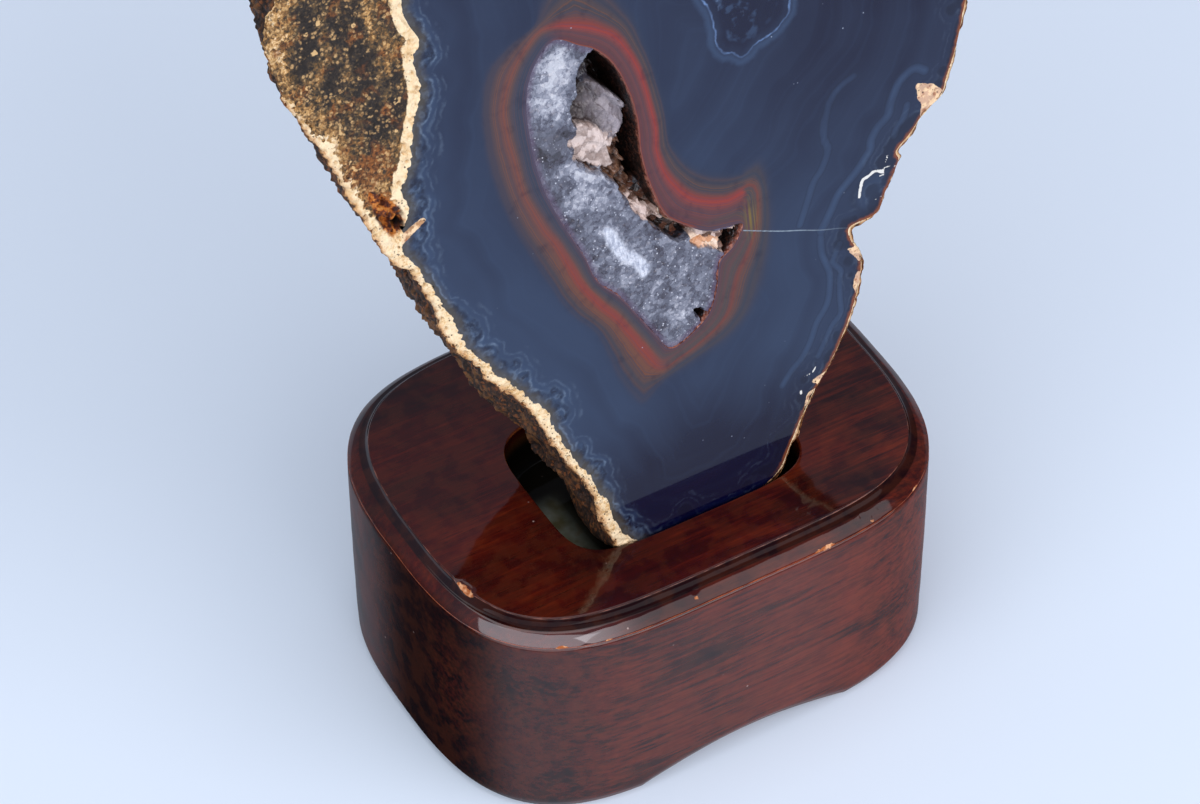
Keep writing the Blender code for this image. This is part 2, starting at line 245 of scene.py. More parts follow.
@dataclass(frozen=True)
class Line:
    """A smooth line through given points on the face, in millimetres."""

    points: tuple[Pair, ...]
    closed: bool = True

    def at(self, marks: np.ndarray) -> np.ndarray:
        """Places on the line, where mark k is its k-th point.

        Formula: between two points, the Catmull-Rom cubic of the two and their neighbours.

        Args:
            marks: where on the line.

        Returns:
            One place for each mark.
        """
        points = np.array(self.points)
        home = np.floor(marks).astype(int)
        t = (marks - home)[..., None]

        def point(step: int) -> np.ndarray:
            """The points a number of steps after each mark's own.

            Args:
                step: number of points to go on.

            Returns:
                One point for each mark.
            """
            index = home + step
            index = index % len(points) if self.closed else np.clip(index, 0, len(points) - 1)
            return points[index]
        before, start, end, beyond = point(-1), point(0), point(1), point(2)
        return 0.5 * (2.0 * start + (end - before) * t
                      + (2.0 * before - 5.0 * start + 4.0 * end - beyond) * t ** 2
                      + (3.0 * start - before - 3.0 * end + beyond) * t ** 3)

    def curve(self, spans: int = 4) -> np.ndarray:
        """Places along the whole line, with a number of spans from each point to the next."""
        last = len(self.points) - (0 if self.closed else 1)
        return self.at(np.linspace(0.0, last, last * spans + 1))

    def distance(self, places: np.ndarray, spans: int = 4) -> np.ndarray:
        """Distance from each place to the line, as the least over its straight spans.

        Args:
            places: places on the face.
            spans: spans between two points.

        Returns:
            One distance for each place.
        """
        line = self.curve(spans)
        best = np.full(places.shape[:-1], np.inf)
        for start, end in zip(line, line[1:]):
            run = end - start
            share = np.clip((places - start) @ run / max(run @ run, 1e-12), 0.0, 1.0)
            gap = places - start - share[..., None] * run
            best = np.minimum(best, np.einsum("...i,...i->...", gap, gap))
        return np.sqrt(best)

    def depth(self, places: np.ndarray, spans: int = 4) -> np.ndarray:
        """Distance to a closed line, positive inside it and negative outside.

        Args:
            places: places on the face.
            spans: spans between two points.

        Returns:
            One signed distance for each place.
        """
        line = self.curve(spans)
        odd = np.zeros(places.shape[:-1], dtype=bool)
        x, v = places[..., 0], places[..., 1]
        for (x0, v0), (x1, v1) in zip(line, line[1:]):
            if v0 != v1:
                crossing = x0 + (v - v0) * (x1 - x0) / (v1 - v0)
                odd ^= ((v0 > v) != (v1 > v)) & (x < crossing)
        return np.where(odd, 1.0, -1.0) * self.distance(places, spans)

    def reach(self, headings: np.ndarray, centre: Pair) -> np.ndarray:
        """Distance from a centre to the line along each heading.

        Formula: the heading and the distance of many places on the line, joined by straight
        steps; the line runs anticlockwise and each heading meets it once.

        Args:
            headings: headings in radians.
            centre: where they start.

        Returns:
            One distance for each heading.
        """
        offset = self.curve(48)[:-1] - np.array(centre)
        turn = np.maximum.accumulate(np.unwrap(np.arctan2(offset[:, 1], offset[:, 0])))
        far = np.hypot(offset[:, 0], offset[:, 1])
        wanted = turn[0] + np.mod(headings - turn[0], 2.0 * math.pi)
        return np.interp(wanted, np.append(turn, turn[0] + 2.0 * math.pi), np.append(far, far[0]))


@dataclass
class Sheet:
    """A surface on a grid of places in metres, with numbers that vary over it."""

    name: str
    places: np.ndarray
    traits: dict[str, np.ndarray] = field(default_factory=dict)
    wrap: bool = True
    pole: bool = False
    turned: bool = False

    def corners(self) -> tuple[np.ndarray, np.ndarray]:
        """Corner numbers of the quads between neighbouring rows, and of the fan at a pole.

        Returns:
            The quads and the fan's triangles, one to a row.
        """
        rows, columns = self.places.shape[:2]
        start = np.arange(columns if self.wrap else columns - 1)
        end = (start + 1) % columns
        base = np.arange(rows - 1)[:, None] * columns
        quads = np.stack([base + start, base + end, base + columns + end, base + columns + start],
                         axis=-1).reshape(-1, 4)
        last = (rows - 1) * columns
        fan = np.stack([last + start, last + end, np.full_like(start, rows * columns)], axis=-1)
        if self.turned:
            quads, fan = quads[:, ::-1], fan[:, ::-1]
        return quads, fan if self.pole else fan[:0]

    def build(self, material: bpy.types.Material, slot: str) -> bpy.types.Object:
        """Make the object, give it its finish and let it ride on the body.

        Args:
            material: finish of the surface.
            slot: material slot of the record that the finish belongs to; not used.

        Returns:
            The new object, at the origin, with its place in its mesh.
        """
        low, high = (np.array(corner) for corner in CAD_BOX)
        margin = 0.01 * MM
        points = np.clip(self.places.reshape(-1, 3), low + margin, high - margin)
        extra = {name: value.reshape(-1) for name, value in self.traits.items()}
        columns = self.places.shape[1]
        if self.pole:
            points = np.vstack([points, points[-columns:].mean(axis=0)])
            extra = {name: np.append(value, value[-columns:].mean())
                     for name, value in extra.items()}
        quads, fan = self.corners()
        loops = np.concatenate([quads.reshape(-1), fan.reshape(-1)])
        starts = np.concatenate([np.arange(len(quads)) * 4,
                                 len(quads) * 4 + np.arange(len(fan)) * 3])
        mesh = bpy.data.meshes.new(self.name)
        mesh.vertices.add(len(points))
        mesh.vertices.foreach_set("co", points.reshape(-1).astype(np.float32))
        mesh.loops.add(len(loops))
        mesh.loops.foreach_set("vertex_index", loops.astype(np.int32))
        mesh.polygons.add(len(starts))
        mesh.polygons.foreach_set("loop_start", starts.astype(np.int32))
        mesh.update(calc_edges=True)
        for name, value in extra.items():
            layer = mesh.attributes.new(name, "FLOAT", "POINT")
            layer.data.foreach_set("value", value.astype(np.float32))
        mesh.shade_smooth()
        mesh.materials.append(material)
        piece = bpy.data.objects.new(self.name, mesh)
        bpy.context.scene.collection.objects.link(piece)
        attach(piece, BODY)
        LOG.info("%s: %d faces", self.name, len(mesh.polygons))
        return piece


@dataclass(frozen=True)
class Value:
    """A number that varies over a surface: one output of a material's graph."""

    graph: "Graph"
    socket: bpy.types.NodeSocket

    def __add__(self, other: "Value | float") -> "Value":
        """Sum."""
        return self.graph.math("ADD", self, other)

    def __sub__(self, other: "Value | float") -> "Value":
        """Difference."""
        return self.graph.math("SUBTRACT", self, other)

    def __rsub__(self, other: float) -> "Value":
        """Difference from a number."""
        return self.graph.math("SUBTRACT", other, self)

    def __mul__(self, other: "Value | float") -> "Value":
        """Product."""
        return self.graph.math("MULTIPLY", self, other)

    def __abs__(self) -> "Value":
        """Size without its sign."""
        return self.graph.math("ABSOLUTE", self)

    __radd__ = __add__
    __rmul__ = __mul__

    def rise(self, low: float, high: float) -> "Value":
        """Smooth rise from 0 at low to 1 at high; low may be the larger, for a fall.

        Args:
            low: where it starts.
            high: where it ends.

        Returns:
            The rise.
        """
        node = self.graph.node("ShaderNodeMapRange",
                               {"Value": self, "From Min": low, "From Max": high},
                               interpolation_type="SMOOTHSTEP")
        return Value(self.graph, node.outputs["Result"])

    def hump(self, centre: float, half_width: float) -> "Value":
        """1 at a centre, falling smoothly to 0 at half a width to either side."""
        return abs(self - centre).rise(half_width, 0.0)

    def most(self, other: "Value | float") -> "Value":
        """The larger of the two."""
        return self.graph.math("MAXIMUM", self, other)

    def least(self, other: "Value | float") -> "Value":
        """The smaller of the two."""
        return self.graph.math("MINIMUM", self, other)


Feed = Value | bpy.types.NodeSocket | float | Sequence[float]


class Graph:
    """The nodes of one material, written as expressions."""

    def __init__(self, name: str) -> None:
        """Start an empty material with the name given.

        Args:
            name: name of the material.
        """
        self.material = bpy.data.materials.new(name)
        self.material.use_nodes = True
        self.tree = self.material.node_tree
        self.tree.nodes.clear()
        self.place = self.node("ShaderNodeTexCoord").outputs["Object"]

    def node(self, kind: str, inputs: dict[str | int, Feed] | None = None,
             stops: Sequence[tuple[float, Colour]] = (), **settings: object) -> bpy.types.Node:
        """Add a node.

        Args:
            kind: the node's type.
            inputs: values or links of its sockets, by name or number.
            stops: places and colours of a colour ramp.
            settings: properties of the node, which are set first.

        Returns:
            The node.
        """
        node = self.tree.nodes.new(kind)
        for name, setting in settings.items():
            setattr(node, name, setting)
        for index, (place, colour) in enumerate(stops):
            ramp = node.color_ramp.elements
            stop = ramp[index] if index < 2 else ramp.new(place)
            stop.position = place
            stop.color = (*colour, 1.0)
        for name, feed in (inputs or {}).items():
            socket = node.inputs[name]
            if isinstance(feed, Value):
                feed = feed.socket
            if isinstance(feed, bpy.types.NodeSocket):
                self.tree.links.new(feed, socket)
            elif isinstance(feed, Iterable) and socket.type == "RGBA" and len(feed) == 3:
                socket.default_value = (*feed, 1.0)
            else:
                socket.default_value = feed
        return node

    def math(self, operation: str, *terms: Feed) -> Value:
        """Value of a Math node on one or two terms."""
        node = self.node("ShaderNodeMath", dict(enumerate(terms)), operation=operation)
        return Value(self, node.outputs[0])

    def trait(self, name: str) -> Value:
        """A number that the piece's mesh carries."""
        node = self.node("ShaderNodeAttribute", attribute_name=name)
        return Value(self, node.outputs["Fac"])

    def axis(self, index: int) -> Value:
        """One coordinate of the place on the object, in metres."""
        return Value(self, self.node("ShaderNodeSeparateXYZ", {0: self.place}).outputs[index])

    def stretched(self, size_mm: Colour) -> bpy.types.NodeSocket:
        """The place divided by a size in millimetres along each axis.

        Args:
            size_mm: size along each axis.

        Returns:
            The scaled place.
        """
        node = self.node("ShaderNodeVectorMath",
                         {0: self.place, 1: tuple(1.0 / (part * MM) for part in size_mm)},
                         operation="MULTIPLY")
        return node.outputs[0]

    def noise(self, size_mm: float | Colour, detail: float = 2.0, rough: float = 0.5,
              twist: float = 0.0) -> Value:
        """Soft noise round 0.5 with grains of about a size, the same or different along each axis.

        Args:
            size_mm: size of a grain.
            detail: number of finer octaves.
            rough: strength of each finer octave.
            twist: how far the noise bends itself.

        Returns:
            The noise.
        """
        sizes = size_mm if isinstance(size_mm, tuple) else (size_mm, size_mm, size_mm)
        node = self.node("ShaderNodeTexNoise",
                         {"Vector": self.stretched(sizes), "Scale": 1.0, "Detail": detail,
                          "Roughness": rough, "Distortion": twist})
        return Value(self, node.outputs["Fac"])

    def stripes(self, along: Value, detail: float = 2.0, rough: float = 0.5) -> Value:
        """Noise that varies only with a number, for random parallel stripes.

        Args:
            along: the number.
            detail: number of finer octaves.
            rough: strength of each finer octave.

        Returns:
            The noise.
        """
        node = self.node("ShaderNodeTexNoise",
                         {"W": along, "Scale": 1.0, "Detail": detail, "Roughness": rough},
                         noise_dimensions="1D")
        return Value(self, node.outputs["Fac"])

    def cells(self, size_mm: float | Colour, output: str = "Distance", feature: str = "F1",
              twist: float = 0.0) -> Value:
        """Cell noise with cells of about a size; a twist in cells makes their edges ragged.

        Args:
            size_mm: size of a cell.
            output: which output of the node.
            feature: what the node measures.
            twist: how far the cells' edges stray.

        Returns:
            The output, or its first part where it is a colour.
        """
        sizes = size_mm if isinstance(size_mm, tuple) else (size_mm, size_mm, size_mm)
        place = self.stretched(sizes)
        if twist:
            warp = self.node("ShaderNodeTexNoise", {"Vector": place, "Scale": 1.7, "Detail": 3.0})
            place = self.node("ShaderNodeVectorMath",
                              {0: warp.outputs["Color"], 1: (twist,) * 3, 2: place},
                              operation="MULTIPLY_ADD").outputs[0]
        node = self.node("ShaderNodeTexVoronoi", {"Vector": place, "Scale": 1.0}, feature=feature)
        socket = node.outputs[output]
        if output == "Color":
            socket = self.node("ShaderNodeSeparateColor", {0: socket}).outputs[0]
        return Value(self, socket)

    def mix(self, share: Feed, first: Feed, second: Feed) -> bpy.types.NodeSocket:
        """Blend of two colours by a share."""
        node = self.node("ShaderNodeMix", {0: share, 6: first, 7: second}, data_type="RGBA")
        return node.outputs[2]

    def layers(self, base: Feed, *coats: tuple[Value, Feed]) -> Feed:
        """A base colour with coats laid over it, each where its own share says.

        Args:
            base: the lowest colour.
            *coats: share and colour of each coat, the lowest first.

        Returns:
            The colour seen.
        """
        for share, colour in coats:
            base = self.mix(share, base, colour)
        return base

    def ramp(self, along: Value, stops: Sequence[tuple[float, Colour]]) -> bpy.types.NodeSocket:
        """Colours at given places along a number from 0 to 1, blended between."""
        node = self.node("ShaderNodeValToRGB", {0: along}, stops)
        return node.outputs["Color"]

    def bump(self, height: Value, depth_mm: float,
             under: Feed | None = None) -> bpy.types.NodeSocket:
        """Normals of a relief whose height of 1 stands for a depth in millimetres.

        Args:
            height: the relief.
            depth_mm: depth of a height of 1.
            under: normals of a coarser relief.

        Returns:
            The normals.
        """
        inputs: dict[str | int, Feed] = {"Height": height, "Distance": depth_mm * MM}
        if under is not None:
            inputs["Normal"] = under
        return self.node("ShaderNodeBump", inputs).outputs[0]

    def finish(self, colour: Feed, roughness: Feed, normal: Feed | None = None,
               **constants: Feed) -> bpy.types.Material:
        """Close the graph with a Principled shader.

        Args:
            colour: base colour.
            roughness: roughness.
            normal: normals, if the surface has a fine relief.
            constants: other sockets, with spaces in their names written as underscores.

        Returns:
            The material.
        """
        inputs: dict[str | int, Feed] = {"Base Color": colour, "Roughness": roughness}
        inputs |= {name.replace("_", " "): feed for name, feed in constants.items()}
        if normal is not None:
            inputs["Normal"] = normal
        shader = self.node("ShaderNodeBsdfPrincipled", inputs)
        self.node("ShaderNodeOutputMaterial", {"Surface": shader.outputs[0]})
        return self.material


class Polish(Enum):
    """How a cut face of the agate is finished: its roughness."""

    MIRROR = 0.045
    SAWN = 0.30


@dataclass(frozen=True)
class AgateFinish:
    """Blue-grey agate with warm bands round the hollow and milky lines along the rind."""

    polish: Polish
    deep: Colour = polished(40, 48, 70)
    slate: Colour = polished(64, 78, 106)
    ink: Colour = polished(44, 50, 64)
    milk: Colour = polished(126, 148, 178)
    haze: Colour = polished(76, 97, 132)
    olive: Colour = polished(98, 94, 86)
    cream: Colour = paint(232, 200, 158)
    rust: Colour = paint(128, 66, 30)
    left_bands: Bands = (
        (0.0, 62, 72, 96), (0.06, 78, 74, 86), (0.11, 66, 72, 92), (0.16, 88, 76, 82),
        (0.21, 76, 76, 88), (0.26, 98, 80, 80), (0.30, 92, 78, 80), (0.34, 114, 82, 74),
        (0.39, 124, 86, 72), (0.43, 118, 82, 76), (0.47, 136, 78, 70), (0.53, 146, 74, 68),
        (0.60, 142, 75, 70), (0.67, 134, 80, 72), (0.71, 114, 84, 78), (0.75, 98, 84, 84),
        (0.80, 88, 82, 88), (0.85, 74, 78, 92), (0.89, 84, 78, 88), (0.93, 72, 72, 88),
        (0.97, 98, 76, 86), (1.0, 110, 90, 108))
    high_bands: Bands = (
        (0.0, 64, 72, 94), (0.10, 84, 76, 84), (0.18, 78, 74, 86), (0.26, 98, 80, 80),
        (0.34, 112, 84, 76), (0.40, 102, 80, 80), (0.46, 124, 84, 74), (0.54, 134, 84, 70),
        (0.60, 122, 86, 74), (0.66, 98, 82, 82), (0.72, 88, 80, 88), (0.80, 70, 76, 92),
        (0.90, 74, 76, 92), (1.0, 98, 86, 106))
    lobe_bands: Bands = (
        (0.0, 58, 70, 94), (0.10, 66, 72, 92), (0.16, 82, 76, 86), (0.21, 68, 72, 88),
        (0.28, 92, 80, 82), (0.34, 78, 76, 84), (0.40, 104, 78, 80), (0.46, 134, 74, 72),
        (0.53, 156, 72, 70), (0.60, 136, 76, 76), (0.66, 114, 76, 80), (0.72, 104, 76, 82),
        (0.78, 118, 76, 78), (0.84, 98, 74, 80), (0.89, 110, 72, 76), (0.94, 100, 68, 74),
        (0.97, 132, 72, 64), (1.0, 150, 96, 80))
    low_bands: Bands = (
        (0.0, 74, 76, 92), (0.12, 82, 78, 86), (0.20, 70, 76, 92), (0.30, 92, 80, 84),
        (0.38, 114, 82, 76), (0.43, 122, 76, 74), (0.50, 94, 82, 84), (0.60, 88, 84, 86),
        (0.70, 108, 80, 82), (0.80, 90, 82, 84), (0.90, 102, 76, 80), (1.0, 92, 78, 92))

    @staticmethod
    def stops(bands: Bands) -> list[tuple[float, Colour]]:
        """Stops of a ramp, from places and the screen values seen through the polish there."""
        return [(place, polished(*shown)) for place, *shown in bands]

    def ground(self, graph: Graph) -> Feed:
        """Dark blue-grey ground with faint bands that follow the rind, and a painted reflection of
        the stand darkening its foot.

        Args:
            graph: nodes of the material.

        Returns:
            The ground's colour.
        """
        edge = graph.trait("edge") + (graph.noise(13.0, 2.0) - 0.5) * 8.0
        broad = graph.stripes(edge * 0.14, 1.0).rise(0.36, 0.66)
        fine = graph.stripes(edge * 0.8, 2.0).rise(0.45, 0.8)
        cloud = graph.noise(26.0, 3.0, 0.55).rise(0.3, 0.7)
        # Darker towards the bottom: painted reflection of the stand's dark top in the polished
        # face, kept weaker on the sawn back.
        low = graph.axis(2).rise(0.066, 0.048) * (1.0 if self.polish is Polish.MIRROR else 0.3)
        high = graph.axis(2).rise(0.080, 0.125)
        right = graph.axis(0).rise(0.014, 0.034)
        share = cloud * 0.30 + broad * 0.24 + 0.58 - low * 1.0 - high * 0.34 - right * 0.32
        base = graph.mix(share.most(0.0), self.deep, self.slate)
        base = graph.mix(fine * 0.06, base, self.haze)
        veil = graph.trait("veil") * (0.30 + graph.noise(3.5, 3.0) * 1.1)
        base = graph.mix(graph.trait("veil").hump(0.12, 0.10) * 0.35, base, self.ink)
        return graph.mix(veil.least(1.0), base, self.haze)

    def margin(self, graph: Graph, base: Feed) -> Feed:
        """Scalloped dark and milky lines in the last millimetres before the rind.

        Args:
            graph: nodes of the material.
            base: colour under it.

        Returns:
            The colour with the lines.
        """
        growth = (graph.trait("growth") + (graph.noise(2.2, 2.0) - 0.5) * 1.2
                  + (graph.noise(0.8, 3.0, 0.6) - 0.5) * 0.6)
        left = graph.trait("left")
        patchy = graph.noise(4.0, 2.0).rise(0.42, 0.62)
        fleecy = graph.noise(1.3, 4.0, 0.6).rise(0.36, 0.64)
        inside = growth.rise(0.35, -0.6)
        line = growth.hump(0.0, 0.34) * (0.15 + patchy * 0.85)
        glow = growth.rise(1.9, 0.0) * growth.rise(-0.5, 0.1)
        outer = (growth.hump(0.85, 0.30) * 0.5).most(growth.hump(1.8, 0.45) * patchy * 0.5)
        inner = growth.hump(-0.9, 0.35) * fleecy
        near_rind = graph.trait("edge") + (graph.noise(1.1, 3.0) - 0.5) * 1.2
        return graph.layers(
            base,
            (glow * left * 0.40 * (0.35 + patchy * 0.65), self.haze),
            (inside * (0.45 + left * 0.15), self.ink),
            (inside * fleecy * left * 0.55, self.haze),
            (inner * left * 0.35, self.milk),
            (near_rind.rise(1.9, 0.2) * left * 0.65, self.olive),
            (outer * (0.14 + left * 0.30) * fleecy, self.milk),
            (line * (0.16 + left * 0.44) * (0.2 + fleecy * 0.8), self.milk),
        )

    def bands(self, graph: Graph, base: Feed) -> Feed:
        """Warm bands between the outer limit of the iron stain and the quartz.

        Args:
            graph: nodes of the material.
            base: colour under it.

        Returns:
            The colour with the bands.
        """
        warm = (graph.trait("warm") + (graph.noise(4.0, 2.0) - 0.5) * 0.05
                + (graph.noise(0.8, 2.0) - 0.5) * 0.016)
        left, high, lobe, low = (graph.ramp(warm, self.stops(bands)) for bands in (
            self.left_bands, self.high_bands, self.lobe_bands, self.low_bands))
        on_lobe, upper = graph.trait("lobe"), graph.axis(2).rise(0.086, 0.108)
        fine = graph.stripes(warm * 46.0, 2.0)
        within = warm.rise(0.10, 0.42) * 0.8 + 0.2
        smoke = graph.noise((2.4, 2.4, 2.4), 3.0, 0.6)
        threads = graph.stripes(graph.axis(0) * 2600.0, 1.0).rise(0.35, 0.6)
        colour = graph.layers(
            left, (upper, high), (on_lobe, lobe), (graph.trait("faint"), low),
            ((1.0 - on_lobe) * upper * 0.16, self.slate),
            (fine.rise(0.58, 0.34) * 0.32 * within, self.slate),
            (fine.rise(0.56, 0.80) * 0.30 * within, polished(150, 92, 70)),
            (smoke.rise(0.5, 0.8) * 0.4, self.deep),
            (graph.trait("olive") * threads, polished(128, 112, 74)),
        )
        return graph.mix(warm.rise(-0.10, 0.22), base, colour)

    def marks(self, graph: Graph, base: Feed) -> Feed:
        """White scratches, the healed crack, the closed eye, flecks and small knocks.

        Args:
            graph: nodes of the material.
            base: colour under it.

        Returns:
            The colour with the marks.
        """
        eye = graph.trait("eye") + (graph.noise(1.0, 3.0) - 0.5) * 0.7
        core = graph.trait("eye_core") + graph.noise(0.8, 3.0) - 0.5
        mark = graph.trait("mark") + (graph.noise(0.7, 3.0) - 0.5) * 0.42
        crack = graph.trait("crack") + (graph.noise(0.6, 2.0) - 0.5) * 0.08
        fade = graph.axis(0).rise(0.029, 0.018) * 0.7 + 0.2
        fleck = graph.cells(2.6).rise(0.055, 0.02) * graph.noise(11.0, 1.0).rise(0.50, 0.62)
        return graph.layers(
            base,
            (eye.rise(0.2, 2.0) * 0.7, self.deep),
            (core.hump(0.0, 0.5) * graph.noise(1.4, 2.0).rise(0.4, 0.6) * 0.9,
             polished(118, 142, 184)),
            (eye.rise(0.6, 2.4) * graph.noise(1.8, 3.0).rise(0.52, 0.66) * 0.5, self.haze),
            (eye.hump(0.15, 0.26) * (0.25 + graph.noise(2.6, 2.0).rise(0.4, 0.7)),
             polished(120, 152, 205)),
            (eye.hump(-0.6, 1.0) * 0.5, self.haze),
            (eye.hump(2.2, 0.5) * graph.noise(3.0, 2.0).rise(0.45, 0.7) * 0.5, self.haze),
            (crack.rise(0.13, 0.03) * fade, polished(160, 180, 200)),
            (fleck * 0.9, paint(160, 170, 186)),
            (mark.rise(0.05, -0.05), paint(214, 212, 204)),
        )

    def rind(self, graph: Graph, base: Feed) -> tuple[Feed, Value]:
        """Chalky crust let into the face or round its edge, and the share that it covers.

        Args:
            graph: nodes of the material.
            base: colour under it.

        Returns:
            The colour with the crust, and the crust's share.
        """
        chalk = graph.trait("chalk") + (graph.noise(0.8, 3.0) - 0.5) * 0.6
        cover = chalk.rise(-0.06, 0.06)
        pits = graph.cells(0.8).rise(0.24, 0.12) * graph.noise(2.0, 1.0).rise(0.4, 0.55)
        crust = graph.layers(
            graph.mix(graph.trait("left"), paint(196, 160, 132), paint(168, 128, 90)),
            (graph.noise(1.0, 4.0, 0.6).rise(0.46, 0.58) * 0.9, self.cream),
            (graph.noise(0.9, 4.0, 0.6).rise(0.54, 0.66) * 0.8, paint(150, 92, 62)),
            (pits, paint(50, 30, 20)),
        )
        rim = graph.trait("edge") + (graph.noise(0.9, 3.0) - 0.5) * 0.9
        outer = (1.0 - graph.trait("left")) * graph.axis(2).rise(0.041, 0.044)
        stained = graph.mix(rim.rise(0.7, 0.0) * outer * 0.85, base, self.rust)
        return graph.mix(cover, stained, crust), cover

    def core(self, graph: Graph, base: Feed) -> Feed:
        """Milky quartz where the bands close, on a face that the hollow doesn't reach.

        Args:
            graph: nodes of the material.
            base: colour under it.

        Returns:
            The colour with the quartz.
        """
        inner = graph.trait("warm") - 1.0
        grains = (graph.cells(1.3, "Color", twist=0.35) * 0.30 + graph.cells(0.6, "Color") * 0.25
                  + graph.noise(3.0, 4.0, 0.6) * 0.45).rise(0.30, 0.72)
        quartz = graph.mix(grains, paint(92, 94, 110), paint(168, 174, 192))
        return graph.mix(inner.rise(-0.01, 0.03), base, quartz)

    def material(self, name: str) -> bpy.types.Material:
        """The finish as a material.

        Args:
            name: name of the material.

        Returns:
            The material.
        """
        graph = Graph(name)
        colour = self.bands(graph, self.margin(graph, self.ground(graph)))
        colour = self.marks(graph, self.core(graph, colour))
        colour, cover = self.rind(graph, colour)
        scuffs = graph.noise((0.5, 6.0, 0.5), 2.0)
        polish = self.polish.value + scuffs.rise(0.45, 0.8) * 0.04
        roughness = polish + cover * 0.6
        relief = graph.bump(graph.noise(14.0, 1.0), 0.02)
        if self.polish is Polish.SAWN:
            colour = graph.mix(0.30, colour, paint(96, 110, 134))
            relief = graph.bump(graph.noise((40.0, 40.0, 0.5), 2.0), 0.05, relief)
        return graph.finish(colour, roughness, relief, IOR=1.54, Specular_IOR_Level=0.28)


@dataclass(frozen=True)
class RindFinish:
    """Cream rind and the speckled host rock that it grew on, where the cut crosses them."""

    cream: Colour = paint(243, 219, 178)
    butter: Colour = paint(224, 184, 126)
    honey: Colour = paint(196, 152, 92)
    bark: Colour = paint(70, 44, 27)
    pitch: Colour = paint(33, 26, 21)
    moss: Colour = paint(86, 68, 42)

    def rock(self, graph: Graph) -> Feed:
        """Dark rock peppered with brown, gold and cream grains.

        Args:
            graph: nodes of the material.

        Returns:
            The rock's colour.
        """
        grains = graph.cells(0.55, "Color") * 0.5 + graph.noise(0.42, 3.0, 0.7).rise(0.3, 0.7) * 0.5
        patch = graph.noise(5.0, 5.0, 0.62)
        streak = graph.noise((2.0, 7.0, 7.0), 4.0, 0.6)
        crusty, tip = graph.trait("crusty"), graph.trait("tip")
        share = (grains * 0.34 + patch.rise(0.30, 0.74) * 0.32 + streak.rise(0.30, 0.74) * 0.18
                 + crusty * 0.22 + tip.rise(-16.0, -4.0) * 0.06)
        colour = graph.ramp(share, (
            (0.26, self.pitch), (0.38, paint(52, 42, 33)), (0.48, self.moss),
            (0.57, paint(122, 86, 46)), (0.69, self.honey), (0.84, self.cream)))
        rusty = (tip.rise(-15.0, -1.0) * 0.16 + graph.noise(3.0, 3.0)).rise(0.54, 0.68)
        sprinkled = (graph.noise(1.6, 3.0) + share * 0.30).rise(0.54, 0.70)
        clump = (graph.noise(1.7, 3.0) + crusty * 0.05).rise(0.68, 0.72)
        return graph.layers(
            colour,
            (rusty * 0.8, graph.mix(grains, paint(46, 24, 12), paint(158, 92, 36))),
            (graph.cells(0.70).rise(0.50, 0.26) * sprinkled * 0.75,
             graph.mix(grains, paint(140, 102, 58), self.butter)),
            (clump * 0.85, self.butter),
            (graph.noise(0.5, 2.0, 0.6).rise(0.45, 0.35) * 0.75, paint(22, 17, 13)),
        )

    def band(self, graph: Graph) -> Feed:
        """Cream rind: buttery towards the skin, pricked with dark pores.

        Args:
            graph: nodes of the material.

        Returns:
            The rind's colour.
        """
        cloud = graph.noise(1.8, 4.0, 0.6)
        speck = graph.noise(0.5, 3.0, 0.6)
        away = graph.trait("rock").rise(-5.5, -1.5)
        outer = graph.trait("from_skin") + (graph.noise(1.0, 5.0, 0.66) - 0.5) * 2.6
        low = graph.axis(2).rise(0.110, 0.060)
        pores = (graph.noise(2.2, 3.0) + low * 0.13).rise(0.50, 0.58)
        return graph.layers(
            self.cream,
            ((cloud * 0.8 + speck * 0.4).rise(0.52, 0.78) * 0.8, self.butter),
            ((speck * 0.7 + cloud * 0.5).rise(0.62, 0.78) * (1.0 - away * 0.7) * 0.8, self.honey),
            (outer.rise(1.0, 0.2) * 0.75, paint(190, 128, 64)),
            (outer.rise(0.40, -0.1), self.bark),
            (graph.cells(0.62).rise(0.30, 0.16) * pores * 0.9, paint(62, 38, 20)),
        )

    def material(self, name: str) -> bpy.types.Material:
        """The finish as a material.

        Args:
            name: name of the material.

        Returns:
            The material.
        """
        graph = Graph(name)
        crusty = graph.trait("crusty")
        ragged = (graph.noise(1.3, 4.0, 0.6) - 0.5) * (crusty * 4.0 + 0.9)
        rock_reach = graph.trait("rock") + ragged + crusty * 0.3
        tip = graph.trait("tip") + (graph.noise(1.0, 2.0) - 0.5) * 1.1
        tip_colour = graph.ramp(graph.noise(1.1, 3.0, 0.6), (
            (0.36, paint(44, 16, 10)), (0.47, paint(96, 42, 14)), (0.54, paint(178, 100, 30)),
            (0.66, paint(206, 142, 70))))
        colour = graph.layers(
            self.band(graph),
            (rock_reach.rise(-0.08, 0.10), self.rock(graph)),
            (tip.rise(-0.2, 0.3), tip_colour),
            # The tip's hole painted near-black: painted shade in it.
            (graph.trait("hole").rise(-0.2, 0.2), paint(16, 8, 7)),
        )
        relief = graph.bump(graph.cells(0.6) * 0.4 + graph.noise(0.4, 4.0, 0.65), 0.26)
        return graph.finish(colour, 0.62, relief, IOR=1.5, Specular_IOR_Level=0.35)


